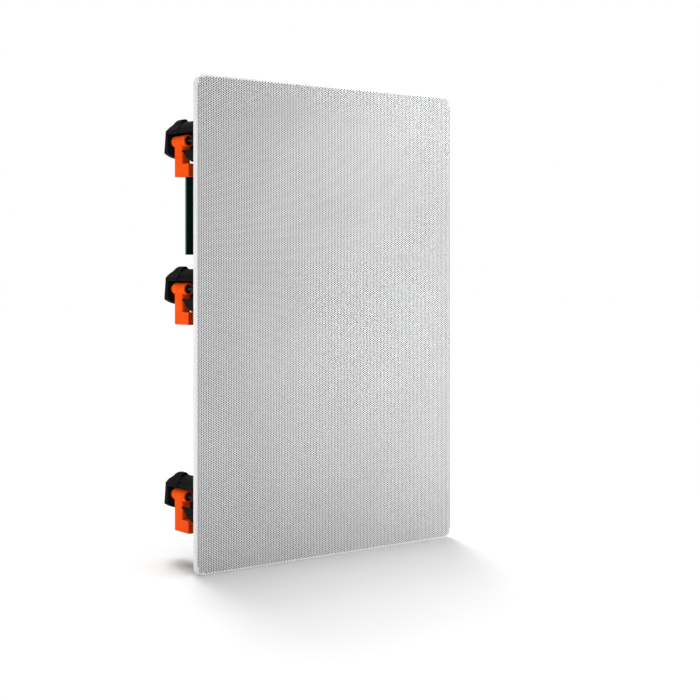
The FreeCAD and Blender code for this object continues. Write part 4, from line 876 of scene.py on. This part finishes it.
def solder(x, z):
    """A soldered joint on the board's front face."""
    rows = plain([(radius, BOARD_FRONT - rise) for radius, rise in SOLDER_CONE])
    return rings((x, z), rows, SOLDER_SIDES, capped=True)


def resistor_body(low, high):
    """A ceramic trough with rounded edges. The cement in its rear face lies a little inside the rim."""
    edit = bmesh.new()
    bmesh.ops.create_cube(edit, size=1.0)
    for vert in edit.verts:
        vert.co = Vector([low[i] + (vert.co[i] + 0.5) * (high[i] - low[i]) for i in range(3)])
    rear = [max(edit.faces, key=lambda face: face.normal.y)]
    bmesh.ops.inset_region(edit, faces=rear, thickness=RESISTOR_RIM, depth=0.0)
    bmesh.ops.inset_region(edit, faces=rear, thickness=RESISTOR_RECESS / 2, depth=-RESISTOR_RECESS)
    bmesh.ops.recalc_face_normals(edit, faces=edit.faces)
    # every edge that turns, and not the joins within the flat rim
    turning = [edge for edge in edit.edges if edge.calc_face_angle(0.0) > 1.0]
    bmesh.ops.bevel(edit, geom=turning, offset=RESISTOR_BEVEL, segments=3, profile=0.6, affect="EDGES")
    edit.verts.ensure_lookup_table()
    points = [tuple(vert.co) for vert in edit.verts]
    faces = [tuple(vert.index for vert in face.verts) for face in edit.faces]
    edit.free()
    return points, faces


def glue_bead(x0, x1, z):
    """Silicone that beds a capacitor on the board, thinner towards its ends."""
    outlines = [
        [(x0 + (x1 - x0) * share, BOARD_REAR + dy * width, z + dz * width) for dz, dy in GLUE_SECTION]
        for share, width in GLUE_STATIONS
    ]
    return loft(outlines, capped=True)


def trace(path, height):
    """A flat copper track under the mask, mitred at its corners."""
    left, right = [], []
    for i, (x, z) in enumerate(path):
        before, after = path[max(i - 1, 0)], path[min(i + 1, len(path) - 1)]
        ways = []
        for (x0, z0), (x1, z1) in ((before, (x, z)), ((x, z), after)):
            length = math.hypot(x1 - x0, z1 - z0)
            if length:
                ways.append(((x1 - x0) / length, (z1 - z0) / length))
        dx, dz = sum(w[0] for w in ways), sum(w[1] for w in ways)
        length = math.hypot(dx, dz)
        dx, dz = dx / length, dz / length
        reach = TRACE_WIDTH / 2 / (dx * ways[0][0] + dz * ways[0][1])
        left.append((x - dz * reach, z + dx * reach))
        right.append((x + dz * reach, z - dx * reach))
    outline = left + right[::-1]
    count = len(outline)
    points, faces = loft([[(x, y, z) for x, z in outline]
                          for y in (BOARD_REAR - TRACE_SINK, BOARD_REAR + height)])
    for k in range(len(path) - 1):
        quad = (k, k + 1, count - 2 - k, count - 1 - k)
        faces += [quad, tuple(count + i for i in quad)]
    return points, faces


def build_crossover_parts(materials):
    """Capacitors and resistors with their leads, joints and glue, and the tracks on the board."""
    low, high = box_mm("capacitors")
    can_x0, can_x1 = low.x, high.x
    can_y = BOARD_REAR + CAPACITOR_RADIUS
    can_rows = (low.z + CAPACITOR_RADIUS, high.z - CAPACITOR_RADIUS)
    profile = [(r, can_x0 + t) for r, t in CAPACITOR_END]
    profile += [(r, can_x1 - t) for r, t in reversed(CAPACITOR_END)]
    can = rings((0.0, 0.0), plain(profile), CAPACITOR_SIDES, capped=True)
    cans = [along_x(can, can_y, z) for z in can_rows]

    low, high = box_mm("resistors")
    body_y = (low.y + high.y) / 2
    half = body_y - low.y
    body_rows = (low.z + half, high.z - half)
    bodies = [resistor_body((low.x, low.y, z - half), (high.x, high.y, z + half)) for z in body_rows]

    leads, joints = [], []
    for x, way, y, rows, reach in (
        (can_x0, -1, can_y, can_rows, LONG_LEAD), (can_x1, 1, can_y, can_rows, SHORT_LEAD),
        (low.x, -1, body_y, body_rows, SHORT_LEAD), (high.x, 1, body_y, body_rows, LONG_LEAD),
    ):
        leads += [lead(x, y, z, way, reach) for z in rows]
        joints += [solder(x + way * reach, z) for z in rows]
    glue = [glue_bead(can_x0 + GLUE_INSET, can_x1 - GLUE_INSET, z) for z in can_rows]
    tracks = [trace(path, TRACE_HEIGHT + TRACE_STEP * i) for i, path in enumerate(TRACES)]

    for name, parts, finish, node, slot, smooth_angle in (
        ("capacitor_cans", cans, "film_yellow", "capacitors", "film_yellow", 40),
        ("resistor_bodies", bodies, "ceramic_white", "resistors", "ceramic_white", 30),
        ("component_leads", leads, "nickel", None, "nickel", 40),
        ("solder_joints", joints, "nickel", None, "nickel", 40),
        ("silicone_beads", glue, "silicone", None, "ceramic_white", 40),
        ("board_tracks", tracks, "masked_copper", None, "green_board", 30),
    ):
        solid_piece(name, parts, materials[finish], "chassis", node, smooth_angle)


def make_stage():
    """White floor and background. The camera sees them plain white apart from the shadow."""
    corners = ((-1, -1), (1, -1), (1, 1), (-1, 1))
    points = [(x * FLOOR_REACH, y * FLOOR_REACH, FLOOR_Z) for x, y in corners]
    mesh_piece("floor", points, [(0, 1, 2, 3)], paper_sweep())
    world = bpy.data.worlds.new("studio")
    bpy.context.scene.world = world
    world.use_nodes = True
    tree = world.node_tree
    # full strength for the rays that show the background: the camera's, and those from metal and glass
    rays = add(tree, "LightPath").outputs
    straight = add(tree, "Math", {0: rays["Is Camera Ray"], 1: rays["Is Glossy Ray"]},
                   operation="MAXIMUM").outputs["Value"]
    shows = add(tree, "Math", {0: straight, 1: rays["Is Transmission Ray"]},
                operation="MAXIMUM").outputs["Value"]
    strength = add(tree, "MapRange", {"Value": shows, "To Min": ROOM_LIGHT, "To Max": 1.0})
    background = tree.nodes["Background"]
    background.inputs["Color"].default_value = linear("#FFFFFF")
    tree.links.new(strength.outputs["Result"], background.inputs["Strength"])


def place_object(name, data, place, way):
    """Puts a lamp or the camera at a place, facing along way."""
    holder = bpy.data.objects.new(name, data)
    holder.location = place
    holder.rotation_euler = Vector(way).to_track_quat("-Z", "Y").to_euler()
    bpy.context.scene.collection.objects.link(holder)
    return holder


def make_lamps():
    """A strip of light from above and behind throws the fading shadow forward. Softboxes model the form."""
    for height in OVERHEAD_HEIGHTS:
        top = bpy.data.lights.new(f"overhead_{height}", "SUN")
        top.energy = OVERHEAD_LIGHT
        top.angle = math.radians(OVERHEAD_ANGLE)
        level, up = math.cos(math.radians(height)), math.sin(math.radians(height))
        place = Vector((level * OVERHEAD_HEADING[0], level * OVERHEAD_HEADING[1], up))
        place_object(top.name, top, place, -place)
    for name, (place, faced, size, spread, power) in SOFTBOXES.items():
        lamp = bpy.data.lights.new(name, "AREA")
        lamp.size = size
        lamp.spread = math.radians(spread)
        lamp.energy = power
        place_object(name, lamp, place, Vector(faced) - Vector(place))


def make_camera():
    """The photograph's view: level, from the left, 0.9 m in front of the panel."""
    camera = bpy.data.cameras.new("camera")
    camera.sensor_width = CAMERA_SENSOR
    camera.lens = CAMERA_LENS
    camera.shift_y = CAMERA_SHIFT
    bpy.context.scene.camera = place_object("camera", camera, CAMERA_PLACE, CAMERA_WAY)


materials = make_materials()
dress_cad_nodes(materials)
build_grille(materials["white_grille"])
build_flexible_ring("woofer_surround", surround_profile(), materials["black_rubber"])
build_flexible_ring("woofer_spider", spider_profile(), materials["amber_cloth"])
build_clamp_screws(materials["black_screw"])
build_small_screws(materials["black_screw"])
build_windings(materials["copper"])
build_crossover_parts(materials)
make_stage()
make_lamps()
make_camera()
bpy.context.scene.view_settings.view_transform = "Standard"
